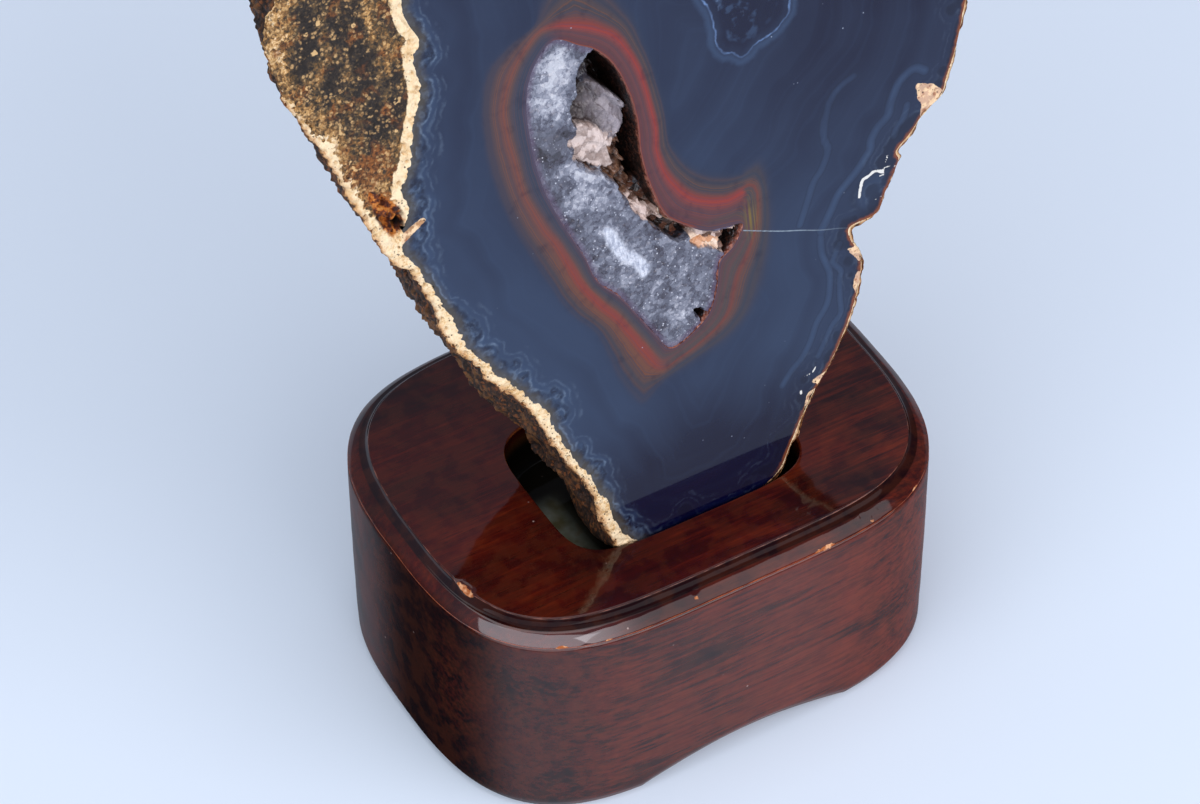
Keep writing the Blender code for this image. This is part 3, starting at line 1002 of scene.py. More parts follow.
@dataclass(frozen=True)
class SkinFinish:
    """Weathered outer skin of the nodule: dark brown, striated, golden in worn patches, with
    painted light making it more golden towards the sawn back's edge.
    """

    bark: Colour = paint(70, 45, 28)
    soot: Colour = paint(28, 19, 14)
    gold: Colour = paint(140, 94, 50)
    straw: Colour = paint(222, 184, 130)
    rust: Colour = paint(138, 78, 34)

    def material(self, name: str) -> bpy.types.Material:
        """The finish as a material.

        Args:
            name: name of the material.

        Returns:
            The material.
        """
        graph = Graph(name)
        depth, knob = graph.trait("depth"), graph.trait("knob")
        layer = graph.stripes(depth * 1.6 + graph.noise(3.0, 4.0, 0.6) * 3.6, 5.0, 0.75)
        grains = graph.cells(0.5, "Color")
        # Golden patches from noise, plus the worn trait, which is painted light: more golden
        # towards the back edge, where light catches the rim.
        worn = graph.noise(2.6, 5.0, 0.66) + graph.trait("worn") * 0.10
        rim = depth + (graph.noise(1.6, 3.0, 0.6) - 0.5) * 1.6
        colour = graph.layers(
            self.soot,
            ((layer * 0.8 + grains * 0.2).rise(0.34, 0.64), self.bark),
            (worn.rise(0.56, 0.72) * 0.55, self.gold),
            (grains.rise(0.70, 0.95) * 0.6, self.rust),
            (knob.rise(0.35, 0.95) * 0.4, self.gold),
            (knob.rise(-0.1, -0.7) * 0.75, paint(22, 15, 12)),
            (rim.rise(0.8, 0.1) * 0.5, self.rust),
            (rim.rise(0.1, -0.4) * 0.9, self.straw),
        )
        relief = graph.bump(graph.noise(0.5, 4.0, 0.65) + graph.cells(0.5) * 0.5, 0.3)
        return graph.finish(colour, 0.66, relief, IOR=1.48, Specular_IOR_Level=0.35)


@dataclass(frozen=True)
class QuartzFinish:
    """Quartz crust: frosty white, smoky, stained brown, by where it grew and broke, with painted
    light and shade on whole crystals, painted glints and painted shade in its cavities and depths.
    """

    frost: tuple[tuple[float, Colour], ...] = (
        (0.10, paint(30, 25, 32)), (0.26, paint(52, 49, 60)), (0.40, paint(72, 73, 86)),
        (0.54, paint(94, 97, 110)), (0.68, paint(122, 125, 137)), (0.80, paint(150, 152, 162)),
        (0.95, paint(182, 184, 190)))
    shell: Colour = paint(206, 188, 178)
    umber: Colour = paint(74, 46, 32)
    tan: Colour = paint(146, 108, 84)
    # Near-black used for painted shade in the crust's cavities and depths.
    pitch: Colour = paint(18, 10, 8)
    amber: Colour = paint(206, 150, 108)

    def crystals(self, graph: Graph, grains: Value, coarse: Value, fibre: Value) -> Feed:
        """Frosty and smoky crystals of three sizes, with small painted glints and a violet rim.

        Args:
            graph: nodes of the material.
            grains: random tone of each small crystal.
            coarse: random tone of each larger one.
            fibre: tone along the crystals.

        Returns:
            Their colour.
        """
        broad = graph.cells(2.4, "Color", twist=0.30)
        seams = graph.cells(1.1, "Distance", "DISTANCE_TO_EDGE", 0.35).rise(0.07, 0.0)
        cloud = graph.noise(2.2, 4.0, 0.62)
        # glow lightens or darkens whole crystals: painted light and shade where the crystals catch
        # or miss the light.
        tone = (0.51 + graph.trait("glow") * 0.36 + (cloud - 0.5) * 0.04 + (fibre - 0.5) * 0.26
                + (grains - 0.5) * 0.20 + (coarse - 0.5) * 0.23 + (broad - 0.5) * 0.22
                + graph.trait("facet") * 0.12 - seams * 0.10)
        # Small bright specks: painted glints on the crystals.
        painted_glints = graph.cells(0.7).rise(0.24, 0.10) * graph.noise(2.4, 2.0).rise(0.42, 0.56)
        rim = graph.trait("rimward") + graph.noise(1.2, 3.0) - 0.5
        return graph.layers(
            graph.ramp(tone.most(0.0).least(1.0), self.frost),
            (painted_glints * 0.8, paint(206, 208, 216)),
            (rim.rise(1.3, 0.1) * 0.55, paint(86, 66, 92)),
        )

    def material(self, name: str) -> bpy.types.Material:
        """The finish as a material.

        Args:
            name: name of the material.

        Returns:
            The material.
        """
        graph = Graph(name)
        grains = graph.cells(0.55, "Color")
        coarse = graph.cells(1.1, "Color", twist=0.35)
        fibre = graph.noise((0.45, 1.2, 1.5), 6.0, 0.72, 0.6)
        ragged = (graph.noise(1.1, 4.0, 0.6) - 0.5) * 0.66
        grime = graph.noise(1.5, 4.0, 0.65)
        lit = (graph.axis(0).rise(-0.0135, -0.0040) * 0.55 + grime * 0.4
               + coarse * 0.15).rise(0.36, 0.95)

        def area(trait: str, low_mm: float = -0.12, high_mm: float = 0.12) -> Value:
            """Share covered by an area whose inner distance the mesh carries."""
            return (graph.trait(trait) + ragged).rise(low_mm, high_mm)
        colour = graph.layers(
            self.crystals(graph, grains, coarse, fibre),
            (area("window") * 0.6, graph.mix(coarse, paint(58, 58, 68), paint(96, 98, 110))),
            (area("streak", -0.5, 0.4) * 0.95,
             graph.mix(fibre.rise(0.35, 0.6), paint(146, 152, 168), paint(208, 212, 220))),
            (area("brown"), graph.mix(grime.rise(0.40, 0.66), self.umber, self.tan)),
            (area("shade"), graph.mix(lit, paint(54, 42, 39), paint(150, 142, 147))),
            (area("ledge"),
             graph.mix((grime * 0.7 + coarse * 0.3).rise(0.36, 0.60),
                       paint(150, 130, 120), self.shell)),
            (area("seam"),
             graph.mix(coarse.rise(0.1, 0.7), paint(100, 72, 58), paint(206, 184, 172))),
            (area("cream"), graph.mix(coarse.rise(0.1, 0.8), self.amber, paint(236, 214, 190))),
            # Dark cavities along the seam: painted shade in the sunk pits.
            (area("pitchy") * 0.92,
             graph.mix(coarse.rise(0.55, 0.85), self.pitch, paint(110, 62, 36))),
            # Painted shade: the crust turns near-black where it lies deeper than about 3 mm, down
            # into the void.
            (graph.trait("drop").rise(3.2, 5.6), graph.mix(grains, self.pitch, paint(50, 34, 28))),
        )
        relief = graph.bump(graph.cells(0.5), 0.08)
        relief = graph.bump(graph.noise(0.3, 2.0), 0.05, relief)
        return graph.finish(colour, 0.20 + grains * 0.25, relief, IOR=1.54)


@dataclass(frozen=True)
class DruseFinish:
    """Tiny crystals on the hollow's own wall, rust-red just under the face, painted dark deeper
    down as shade in the hollow.
    """

    def material(self, name: str) -> bpy.types.Material:
        """The finish as a material.

        Args:
            name: name of the material.

        Returns:
            The material.
        """
        graph = Graph(name)
        grains = graph.cells(0.42, "Color")
        deep = graph.trait("drop") + (graph.noise(1.0, 3.0) - 0.5) * 0.9
        dark = graph.mix(grains.rise(0.55, 0.95), paint(16, 9, 8), paint(66, 38, 28))
        red = graph.mix(grains, paint(84, 34, 24), paint(158, 96, 76))
        # Rust-red nearer the face and dark below about 0.9 mm: the dark is painted shade in the
        # hollow.
        colour = graph.mix(deep.rise(0.9, 0.2), dark, red)
        relief = graph.bump(graph.cells(0.42), 0.16)
        return graph.finish(colour, 0.34, relief, IOR=1.54)


@dataclass(frozen=True)
class LacquerFinish:
    """Red-brown wood with its grain along X under a thick gloss lacquer, worn on its arrises."""

    night: Colour = paint(30, 7, 8)
    wine: Colour = paint(66, 14, 8)
    mahogany: Colour = paint(120, 42, 16)
    raw: Colour = paint(214, 160, 118)

    def wood(self, graph: Graph) -> Feed:
        """Bare wood: fine streaks along the grain, broad darker and warmer clouds, and painted
        shade on the wall's left part, at its left end and in the moulding's cove.

        Args:
            graph: nodes of the material.

        Returns:
            The wood's colour.
        """
        streaks = graph.noise((13.0, 0.75, 0.75), 4.0, 0.62, 0.2)
        hairs = graph.noise((4.0, 0.26, 0.26), 3.0, 0.6)
        cloud = graph.noise((22.0, 13.0, 12.0), 4.0, 0.6)
        wall, dull_and_shaded, warmth = (graph.trait(name) for name in ("wall", "dull_and_shaded", "warmth"))
        tone = (streaks * 0.42 + cloud * 0.95 + hairs * 0.22).rise(0.56, 1.0)
        warm = (streaks * 0.50 + cloud * 0.55 + hairs * 0.25 + warmth * 0.5
                - dull_and_shaded * 0.10).rise(0.68, 1.0)
        even = (streaks * 0.5 + hairs * 0.3 + cloud * 0.2).rise(0.30, 0.66)
        # Random darker clouds on the wall, plus painted shade on its left part.
        dark = (cloud * 0.6 + streaks * 0.4).rise(0.52, 0.36) * 0.6 + graph.trait("shady") * 0.55
        blotch = warmth * (1.0 - graph.trait("bare")) * streaks.rise(0.35, 0.65)
        return graph.layers(
            self.night,
            (tone, self.wine),
            (warm * 0.60, self.mahogany),
            (wall * 0.75, graph.mix(even, paint(28, 8, 9), paint(113, 41, 24))),
            ((wall * dark).least(0.9), paint(22, 8, 12)),
            (hairs.rise(0.54, 0.70) * 0.6, paint(16, 5, 6)),
            # Painted shade: the concave cove of the moulding darkened almost to black.
            (graph.trait("cove") * 0.88, paint(18, 6, 9)),
            # Painted shade on the wall's left end, where the lacquer is also dull: near-black, less
            # over the warm blotch.
            (dull_and_shaded * (0.92 - blotch * 0.45), paint(10, 3, 5)),
        )

    def material(self, name: str) -> bpy.types.Material:
        """The finish as a material.

        Args:
            name: name of the material.

        Returns:
            The material.
        """
        graph = Graph(name)
        wall, recess = graph.trait("wall"), graph.trait("recess")
        moss = graph.ramp(graph.noise(6.0, 3.0, 0.6), (
            (0.34, paint(96, 92, 66)), (0.52, paint(126, 130, 116)), (0.66, paint(126, 104, 70))))
        rim = recess.hump(0.25, 0.3) * graph.noise(3.0, 3.0).rise(0.4, 0.6)
        arris = graph.trait("arris") + graph.noise((3.0, 3.0, 0.6), 3.0, 0.65) - 0.5
        edge_line = graph.trait("edge_line") + (graph.noise(2.4, 4.0, 0.65) - 0.5) * 1.3
        bare = graph.trait("bare") + (graph.noise(0.7, 4.0, 0.65) - 0.5) * 0.9
        worn = bare.rise(0.30, 0.42)
        dust = graph.cells(4.4).rise(0.05, 0.02) * graph.noise(15.0, 1.0).rise(0.45, 0.6)
        colour = graph.layers(
            self.wood(graph),
            (rim * 0.7, paint(150, 78, 36)),
            (recess.rise(0.8, 3.0), paint(60, 34, 14)),
            # Recess floor: grey-green, painted near-black as the slab's shadow beside and behind
            # its foot.
            (recess.rise(2.4, 4.8), graph.mix(graph.trait("painted_recess_shadow"), moss, paint(16, 14, 10))),
            (arris.rise(0.75, 1.1) * 0.6, paint(168, 110, 92)),
            (edge_line.rise(0.55, 0.90) * 0.8, paint(170, 84, 44)),
            (worn, graph.mix(graph.noise(0.9, 3.0).rise(0.35, 0.6), self.raw, paint(160, 90, 50))),
            (dust * 0.7, paint(170, 146, 136)),
        )
        ripple = graph.noise((18.0, 9.0, 9.0), 2.0)
        relief = graph.bump(ripple + graph.noise((5.0, 0.28, 0.28), 3.0) * 0.05, 0.04)
        gloss = (1.0 - worn) * graph.trait("gloss") * (1.0 - recess.rise(0.3, 1.5) * 0.85)
        return graph.finish(colour, 0.30 + wall * 0.10 + worn * 0.3, relief, IOR=1.45,
                            Specular_IOR_Level=0.0, Coat_Weight=gloss, Coat_Roughness=0.06,
                            Coat_IOR=1.8)


@dataclass(frozen=True)
class FloorFinish:
    """Matte pale blue-white sheet."""

    sheet: Colour = (0.72, 0.81, 0.89)

    def material(self, name: str) -> bpy.types.Material:
        """The finish as a material."""
        graph = Graph(name)
        return graph.finish(self.sheet, 0.65, IOR=1.4, Specular_IOR_Level=0.2)


@dataclass(frozen=True)
class FacePlane:
    """The plane of the polished face, which leans back over the stand's recess."""

    lean: float = 0.20
    across: float = -0.286
    forward: float = -18.7

    def place(self, flat: np.ndarray, depth: np.ndarray | float) -> np.ndarray:
        """World places in metres of places on the face, moved a depth into the slice.

        Formula: x runs across; going up the face moves up by the cosine of the lean and back
        by its sine; going in moves back by the cosine and down by the sine.

        Args:
            flat: places on the face, in millimetres.
            depth: depth below the face, in millimetres.

        Returns:
            The places in metres.
        """
        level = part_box("wood_stand")[1][2] / MM
        depth = np.broadcast_to(depth, flat.shape[:-1])
        sine, cosine = math.sin(self.lean), math.cos(self.lean)
        return MM * np.stack([
            self.across + flat[..., 0],
            self.forward + flat[..., 1] * sine + depth * cosine,
            level + flat[..., 1] * cosine - depth * sine,
        ], axis=-1)


PLANE = FacePlane()
HEART: Pair = (-5.0, 50.0)

HOLLOW = Line((
    (-14.3, 89.2), (-18.0, 86.0), (-19.7, 81.0), (-19.8, 74.0), (-18.9, 66.5), (-16.7, 59.6),
    (-13.9, 52.5), (-12.3, 47.4), (-8.9, 43.0), (-4.4, 34.8), (-1.6, 30.8), (3.6, 32.9),
    (5.8, 35.3), (7.0, 38.5), (7.8, 42.2), (10.4, 44.0), (12.2, 47.0), (9.5, 47.7), (6.0, 48.5),
    (2.8, 50.9), (-0.2, 54.0), (-1.9, 59.3), (-2.9, 65.5), (-2.9, 72.0), (-3.9, 77.5),
    (-5.6, 82.0), (-8.0, 85.2), (-10.3, 86.8),
))
RED_BAND = Line((
    (-15.9, 91.7), (-19.2, 89.4), (-21.8, 86.1), (-23.5, 81.8), (-23.6, 78.1), (-22.9, 72.0),
    (-22.3, 67.0), (-21.2, 63.4), (-19.8, 59.5), (-17.9, 55.5), (-15.7, 48.9), (-12.5, 43.0),
    (-10.1, 39.5), (-6.7, 32.8), (-4.1, 28.3), (-1.0, 28.9), (3.6, 30.4), (7.4, 32.9), (8.9, 37.0),
    (10.2, 39.7), (12.4, 42.8), (14.2, 46.6), (14.5, 52.4), (10.1, 52.4), (7.1, 53.4), (4.2, 55.3),
    (2.1, 58.0), (0.6, 61.0), (-0.2, 65.0), (0.0, 69.4), (-0.9, 76.3), (-2.0, 81.0), (-4.4, 85.8),
    (-7.4, 88.4), (-11.4, 90.6),
))
STAIN_LIMIT = Line((
    (-17.0, 92.8), (-21.5, 91.2), (-25.4, 88.2), (-27.0, 82.0), (-27.2, 75.0), (-26.2, 67.6),
    (-23.8, 59.4), (-20.6, 50.9), (-17.5, 43.8), (-13.6, 38.2), (-11.4, 29.8), (-7.9, 23.2),
    (-3.4, 25.6), (3.3, 27.4), (8.9, 29.0), (12.9, 32.7), (16.2, 40.4), (17.3, 48.9), (16.3, 56.4),
    (13.0, 56.2), (7.6, 58.6), (4.0, 62.4), (2.2, 66.4), (2.0, 71.6), (0.6, 80.5), (-1.4, 88.6),
    (-4.2, 94.8), (-8.0, 100.0), (-13.2, 101.5), (-15.8, 96.2),
))
AGATE_EDGE = Line((
    (-11.6, -0.4), (-7.0, -1.3), (3.0, -1.4), (10.7, -0.7), (14.1, 1.2), (16.5, 5.1), (18.4, 8.4),
    (21.4, 12.7), (24.6, 16.5), (28.2, 22.3), (30.8, 28.7), (31.4, 33.6), (30.1, 36.3),
    (30.1, 38.9), (34.6, 39.3), (36.4, 42.0), (38.7, 45.7), (39.4, 47.1), (39.1, 48.7),
    (41.7, 50.7), (44.1, 53.0), (47.5, 55.2), (48.7, 57.9), (50.7, 62.3), (52.8, 69.2),
    (55.2, 77.1), (56.5, 86.0), (55.7, 94.6), (51.6, 103.3), (44.3, 111.6), (36.0, 116.0),
    (28.6, 120.4), (16.7, 123.9), (3.9, 126.4), (-9.0, 125.7), (-19.6, 126.3), (-27.5, 124.4),
    (-31.6, 119.0), (-33.6, 111.5), (-35.9, 104.2), (-36.0, 101.8), (-35.2, 99.4), (-34.3, 97.1),
    (-35.4, 95.3), (-35.6, 92.9), (-35.1, 89.9), (-35.8, 87.6), (-36.9, 85.2), (-37.5, 83.2),
    (-37.9, 81.2), (-38.4, 78.6), (-39.7, 76.6), (-40.6, 74.4), (-39.7, 72.4), (-40.4, 70.0),
    (-41.2, 67.8), (-41.6, 65.4), (-40.3, 62.9), (-38.5, 58.6), (-37.0, 54.3), (-35.6, 51.0),
    (-34.9, 47.6), (-33.7, 44.4), (-31.6, 41.7), (-30.0, 38.6), (-27.3, 35.4), (-25.5, 32.3),
    (-23.4, 29.6), (-22.5, 26.1), (-21.4, 22.7), (-19.9, 18.7), (-17.9, 14.9), (-16.7, 11.5),
    (-15.4, 8.8), (-14.9, 5.6), (-13.6, 2.2),
))
FACE_EDGE = Line((
    (-14.0, -1.2), (-7.0, -1.8), (3.0, -1.9), (11.0, -1.2), (14.8, 0.6), (17.4, 4.6), (19.3, 8.0),
    (22.2, 12.3), (25.3, 16.0), (29.0, 22.0), (31.6, 28.5), (32.2, 33.8), (30.9, 36.5),
    (30.8, 38.2), (35.0, 38.6), (37.0, 41.6), (39.4, 45.4), (40.3, 47.0), (39.9, 48.3),
    (42.2, 50.0), (44.6, 52.3), (48.2, 54.6), (49.5, 57.5), (51.5, 62.0), (53.6, 69.0),
    (56.0, 77.0), (57.4, 86.0), (56.6, 95.0), (52.5, 104.0), (45.0, 112.5), (36.5, 117.0),
    (29.0, 121.5), (17.0, 125.0), (4.0, 127.5), (-9.0, 126.8), (-20.0, 127.6), (-32.0, 124.5),
    (-42.0, 121.0), (-50.0, 115.5), (-54.0, 111.0), (-56.2, 107.0), (-57.0, 103.5), (-56.0, 99.0),
    (-55.2, 94.5), (-52.3, 88.0), (-50.6, 83.5), (-48.0, 75.7), (-45.2, 67.5), (-43.5, 63.5),
    (-41.0, 60.5), (-38.6, 53.5), (-38.1, 50.0), (-36.4, 45.8), (-33.8, 42.0), (-31.5, 37.5),
    (-27.8, 33.0), (-25.2, 28.0), (-22.4, 20.8), (-20.0, 15.6), (-18.1, 11.5), (-17.1, 6.5),
    (-15.8, 1.5),
))
HOST_ROCK = Line((
    (-36.6, 120.5), (-36.6, 112.0), (-37.9, 105.0), (-37.3, 100.3), (-36.3, 97.9), (-37.2, 95.8),
    (-37.1, 89.4), (-38.6, 84.9), (-39.6, 80.8), (-41.3, 77.2), (-42.6, 73.6), (-44.6, 72.6),
    (-46.2, 76.0), (-48.0, 80.5), (-49.0, 86.0), (-51.6, 89.6), (-52.9, 92.4), (-54.6, 96.0),
    (-57.0, 99.3), (-58.5, 103.0), (-57.5, 106.5), (-55.0, 110.5), (-51.0, 115.5), (-42.0, 121.5),
    (-36.0, 123.0),
))
STAINED_TIP = Line((
    (-45.2, 76.6), (-43.3, 75.6), (-41.5, 73.4), (-40.6, 71.4), (-40.9, 69.0), (-42.6, 68.2),
    (-44.0, 70.2), (-45.0, 73.2),
))
TIP_HOLE = Line(((-42.3, 70.5), (-41.4, 70.8), (-40.8, 69.6), (-41.4, 69.0), (-42.2, 69.6)))
EYE = Line((
    (8.6, 90.0), (9.5, 86.3), (10.5, 84.0), (10.9, 80.7), (10.9, 78.8), (11.4, 77.3), (12.5, 76.2),
    (13.5, 76.0), (14.7, 74.7), (16.2, 74.9), (17.0, 75.7), (18.6, 76.2), (20.6, 76.7),
    (22.3, 77.8), (23.4, 78.9), (23.8, 80.7), (24.2, 84.0), (22.6, 88.0), (18.0, 91.0),
    (12.0, 92.0),
))
EYE_CORE = Line((
    (12.2, 86.2), (12.2, 84.7), (12.6, 83.2), (13.8, 82.2), (14.8, 81.7), (16.0, 81.9),
), closed=False)
CRACK = Line((
    (12.2, 45.9), (18.0, 43.3), (21.6, 41.9), (25.2, 40.4), (28.0, 39.5), (30.6, 38.5),
), closed=False)
WHITE_MARKS = (
    (0.24, Line((
        (32.1, 43.4), (32.5, 44.8), (33.0, 46.0), (34.0, 46.3), (35.2, 46.7), (36.5, 46.1),
    ), closed=False)),
    (0.08, Line(((36.5, 46.0), (36.9, 46.6), (37.9, 46.4), (39.0, 46.1)), closed=False)),
    (0.1, Line(((36.5, 46.0), (36.6, 45.5), (36.0, 45.5)), closed=False)),
    (0.14, Line(((37.5, 48.4), (37.0, 47.4)), closed=False)),
    (0.08, Line(((34.8, 41.8), (35.6, 41.9), (36.8, 41.7)), closed=False)),
    (0.1, Line(((20.1, 15.9), (21.2, 16.0), (21.8, 16.5), (22.1, 17.1)), closed=False)),
    (0.2, Line(((19.1, 13.6), (19.1, 13.1)), closed=False)),
)
VEILS = (
    (0.62, 0.62, Line((
        (45.1, 60.3), (43.4, 61.4), (41.3, 60.7), (40.1, 59.6), (38.8, 57.3), (38.2, 55.3),
        (36.3, 54.0), (35.0, 52.3), (34.7, 50.7), (33.7, 49.7), (32.2, 48.1), (30.5, 46.8),
        (28.6, 45.3), (27.1, 43.0), (26.0, 41.4), (25.2, 40.3),
    ), closed=False)),
    (0.42, 0.55, Line((
        (33.0, 64.2), (30.9, 63.6), (29.0, 62.1), (28.0, 60.1), (27.3, 58.2), (27.1, 55.6),
        (27.6, 53.6), (26.2, 50.8), (24.7, 49.2), (23.4, 46.4), (21.7, 42.8),
    ), closed=False)),
    (0.5, 0.55, Line(((41.6, 55.7), (40.8, 53.8), (39.5, 52.5), (39.0, 51.4)), closed=False)),
    (0.55, 0.5, Line((
        (25.0, 39.2), (24.9, 36.5), (25.4, 34.4), (25.9, 32.6), (25.8, 30.3), (25.0, 27.1),
        (22.9, 24.5), (21.5, 21.6), (19.7, 19.3), (17.8, 17.9), (16.0, 16.0),
    ), closed=False)),
    (0.5, 0.45, Line((
        (28.1, 36.7), (27.0, 34.9), (26.7, 33.8), (27.9, 31.9), (27.6, 30.7), (27.3, 27.3),
        (27.2, 24.5), (25.5, 22.9), (24.2, 20.9), (22.6, 18.5),
    ), closed=False)),
    (0.4, 2.6, Line(((34.0, 43.2), (34.8, 43.8)), closed=False)),
)
CHALK_PATCHES = (
    Line((
        (43.5, 58.6), (45.1, 58.0), (46.0, 57.7), (46.9, 56.9), (48.0, 55.6), (48.3, 54.7),
        (47.3, 54.2), (46.2, 54.2), (45.0, 53.6), (44.7, 52.6), (43.8, 52.5), (43.8, 53.9),
        (44.1, 54.8), (43.5, 55.8), (43.5, 57.1),
    )),
    Line((
        (29.3, 35.2), (30.4, 35.0), (31.0, 35.8), (32.2, 34.6), (32.2, 33.0), (31.3, 32.3),
        (30.4, 33.4),
    )),
    Line(((30.7, 30.6), (31.6, 29.6), (31.6, 27.4), (30.9, 26.4), (30.0, 27.1), (29.8, 28.4))),
    Line(((21.1, 14.6), (22.6, 14.9), (24.2, 15.2), (23.0, 13.0), (21.7, 13.8))),
    Line((
        (-41.6, 66.6), (-39.2, 68.0), (-37.6, 68.9), (-37.9, 69.6), (-39.5, 69.1), (-41.9, 67.8),
    )),
    Line(((20.4, 12.7), (22.0, 12.4), (20.6, 10.0), (19.3, 8.6), (19.3, 10.2))),
)
CRUST_AREAS: dict[str, tuple[Line, ...]] = {
    "window": (
        Line((
            (-18.3, 75.6), (-16.1, 75.0), (-14.1, 72.4), (-14.3, 70.5), (-16.7, 70.1),
            (-18.1, 72.0), (-19.0, 73.8),
        )),
    ),
    "streak": (
        Line((
            (-10.2, 55.4), (-9.2, 55.3), (-7.8, 52.6), (-6.7, 50.3), (-5.1, 48.9), (-3.6, 45.9),
            (-4.9, 44.7), (-6.0, 47.1), (-8.2, 49.5), (-9.8, 52.7),
        )),
    ),
    "shade": (
        Line((
            (-8.7, 78.8), (-6.3, 77.2), (-5.5, 75.5), (-4.3, 74.7), (-4.3, 72.3), (-5.7, 70.2),
            (-7.9, 69.7), (-8.9, 72.2), (-12.0, 73.5), (-12.9, 76.5), (-12.4, 77.7), (-10.5, 77.2),
        )),
    ),
    "ledge": (
        Line((
            (-12.0, 73.5), (-8.9, 72.2), (-7.9, 69.7), (-5.7, 70.2), (-7.1, 69.1), (-7.3, 66.4),
            (-7.0, 64.9), (-8.5, 65.0), (-11.8, 67.5), (-13.4, 68.7), (-13.0, 70.5), (-13.8, 70.8),
            (-13.8, 72.2), (-12.5, 72.3),
        )),
    ),
    "smoke": (
        Line((
            (-9.1, 83.9), (-8.5, 82.1), (-8.7, 79.1), (-9.1, 78.0), (-10.5, 77.2), (-12.4, 77.7),
            (-11.3, 78.9), (-11.1, 81.8), (-10.4, 83.2),
        )),
    ),
    "brown": (
        Line((
            (-6.9, 69.3), (-5.6, 69.5), (-5.7, 67.5), (-5.2, 64.2), (-4.7, 61.6), (-4.5, 59.4),
            (-5.6, 58.5), (-6.9, 61.1), (-6.2, 61.9), (-8.6, 63.9), (-8.5, 65.0), (-7.0, 64.9),
            (-7.3, 66.4),
        )),
        Line((
            (-13.1, 67.7), (-12.1, 67.7), (-8.5, 65.0), (-6.6, 63.8), (-5.4, 62.6), (-6.8, 62.5),
            (-8.6, 63.9), (-8.8, 64.8), (-11.8, 67.0),
        )),
    ),
    "void": (
        Line((
            (-7.8, 84.8), (-5.9, 83.0), (-4.1, 79.6), (-3.0, 74.9), (-2.2, 71.3), (-2.2, 67.6),
            (-2.0, 63.4), (-1.6, 60.1), (-1.2, 57.1), (-3.3, 57.9), (-4.5, 59.4), (-4.7, 61.6),
            (-5.2, 64.2), (-5.7, 67.5), (-5.7, 70.2), (-4.3, 72.3), (-4.3, 74.7), (-5.5, 75.5),
            (-6.3, 77.2), (-8.7, 79.1), (-8.5, 82.1), (-9.1, 83.9),
        )),
    ),
    "seam": (
        Line((
            (-5.6, 58.5), (-3.9, 58.5), (-1.5, 56.7), (-1.0, 55.1), (0.4, 52.8), (3.5, 50.2),
            (5.8, 48.8), (8.3, 47.3), (10.4, 47.1), (11.5, 47.7), (12.3, 47.0), (12.4, 45.5),
            (10.8, 44.8), (8.3, 43.8), (6.8, 45.5), (3.8, 46.8), (3.4, 49.1), (1.1, 49.4),
            (-1.4, 51.8), (-3.1, 54.0), (-4.6, 56.0),
        )),
    ),
    "cream": (
        Line(((3.7, 48.2), (6.9, 46.8), (8.5, 45.8), (8.2, 44.2), (6.4, 45.6), (4.2, 46.6))),
        Line((
            (-1.3, 55.6), (0.2, 53.3), (3.0, 51.0), (5.2, 49.4), (2.9, 50.5), (0.1, 52.6),
            (-1.3, 54.9),
        )),
    ),
    "pitchy": (
        Line(((-1.8, 53.4), (0.4, 52.1), (2.0, 51.8), (3.5, 49.7), (1.1, 49.4), (-1.4, 51.8))),
        Line(((8.3, 43.8), (8.1, 45.3), (9.9, 45.9), (11.6, 45.9), (10.8, 44.8))),
        Line(((-4.3, 58.0), (-1.4, 57.1), (-1.8, 59.3), (-3.1, 59.5))),
        Line(((3.0, 35.6), (4.0, 35.4), (4.2, 34.6), (3.6, 34.1), (2.9, 34.6))),
    ),
}
GLOWS: tuple[tuple[float, float, float, float], ...] = (
    (-14.6, 85.9, 2.2, 1.0), (-15.7, 82.3, 2.6, 0.9), (-13.0, 83.2, 1.9, 0.6),
    (-17.1, 78.9, 2.2, 0.8), (-14.4, 77.8, 1.9, 0.7), (-16.5, 72.6, 2.8, -1.1),
    (-11.4, 65.1, 3.0, 0.75), (-9.2, 62.1, 2.2, 0.5), (-15.1, 67.3, 1.9, 0.5),
    (-13.0, 62.2, 2.1, 0.6), (-16.6, 63.2, 2.2, -0.3), (-15.0, 57.7, 2.2, -0.35),
    (-13.7, 52.6, 2.2, -0.35), (-11.2, 48.0, 2.2, -0.25), (-9.5, 54.2, 1.6, 0.5),
    (-7.0, 50.1, 2.4, 0.7), (-4.8, 47.4, 2.0, 0.6), (2.1, 37.2, 2.2, 0.3),
    (-0.1, 35.6, 1.5, 0.4), (1.0, 33.3, 1.1, 0.2), (6.3, 41.4, 2.2, -0.3), (-4.3, 40.7, 1.9, -0.15),
    (-3.3, 34.9, 1.9, -0.3),
)


@dataclass(frozen=True)
class Fan:
    """Headings of the rays from the heart of the hollow, closer where the stone shows most."""

    count: int = 1400
    left_share: float = 1.75

    def headings(self) -> np.ndarray:
        """Headings in radians, from -180 degrees up.

        Formula: each step covers an equal part of the hollow's edge plus the face's edge,
        counted more on the left, where the host rock and the skin are seen.

        Returns:
            One heading for each ray.
        """
        turn = np.linspace(-math.pi, math.pi, 7201)
        middle = 0.5 * (turn[1:] + turn[:-1])
        steps = np.zeros(len(middle))
        for line in (HOLLOW, FACE_EDGE):
            far = line.reach(turn, HEART)
            steps += np.hypot(np.diff(far), 0.5 * (far[1:] + far[:-1]) * np.diff(turn))
        steps *= np.where(np.abs(middle) > math.radians(95.0), self.left_share, 1.0)
        total = np.concatenate([[0.0], np.cumsum(steps)])
        return np.interp(np.linspace(0.0, total[-1], self.count, endpoint=False), total, turn)


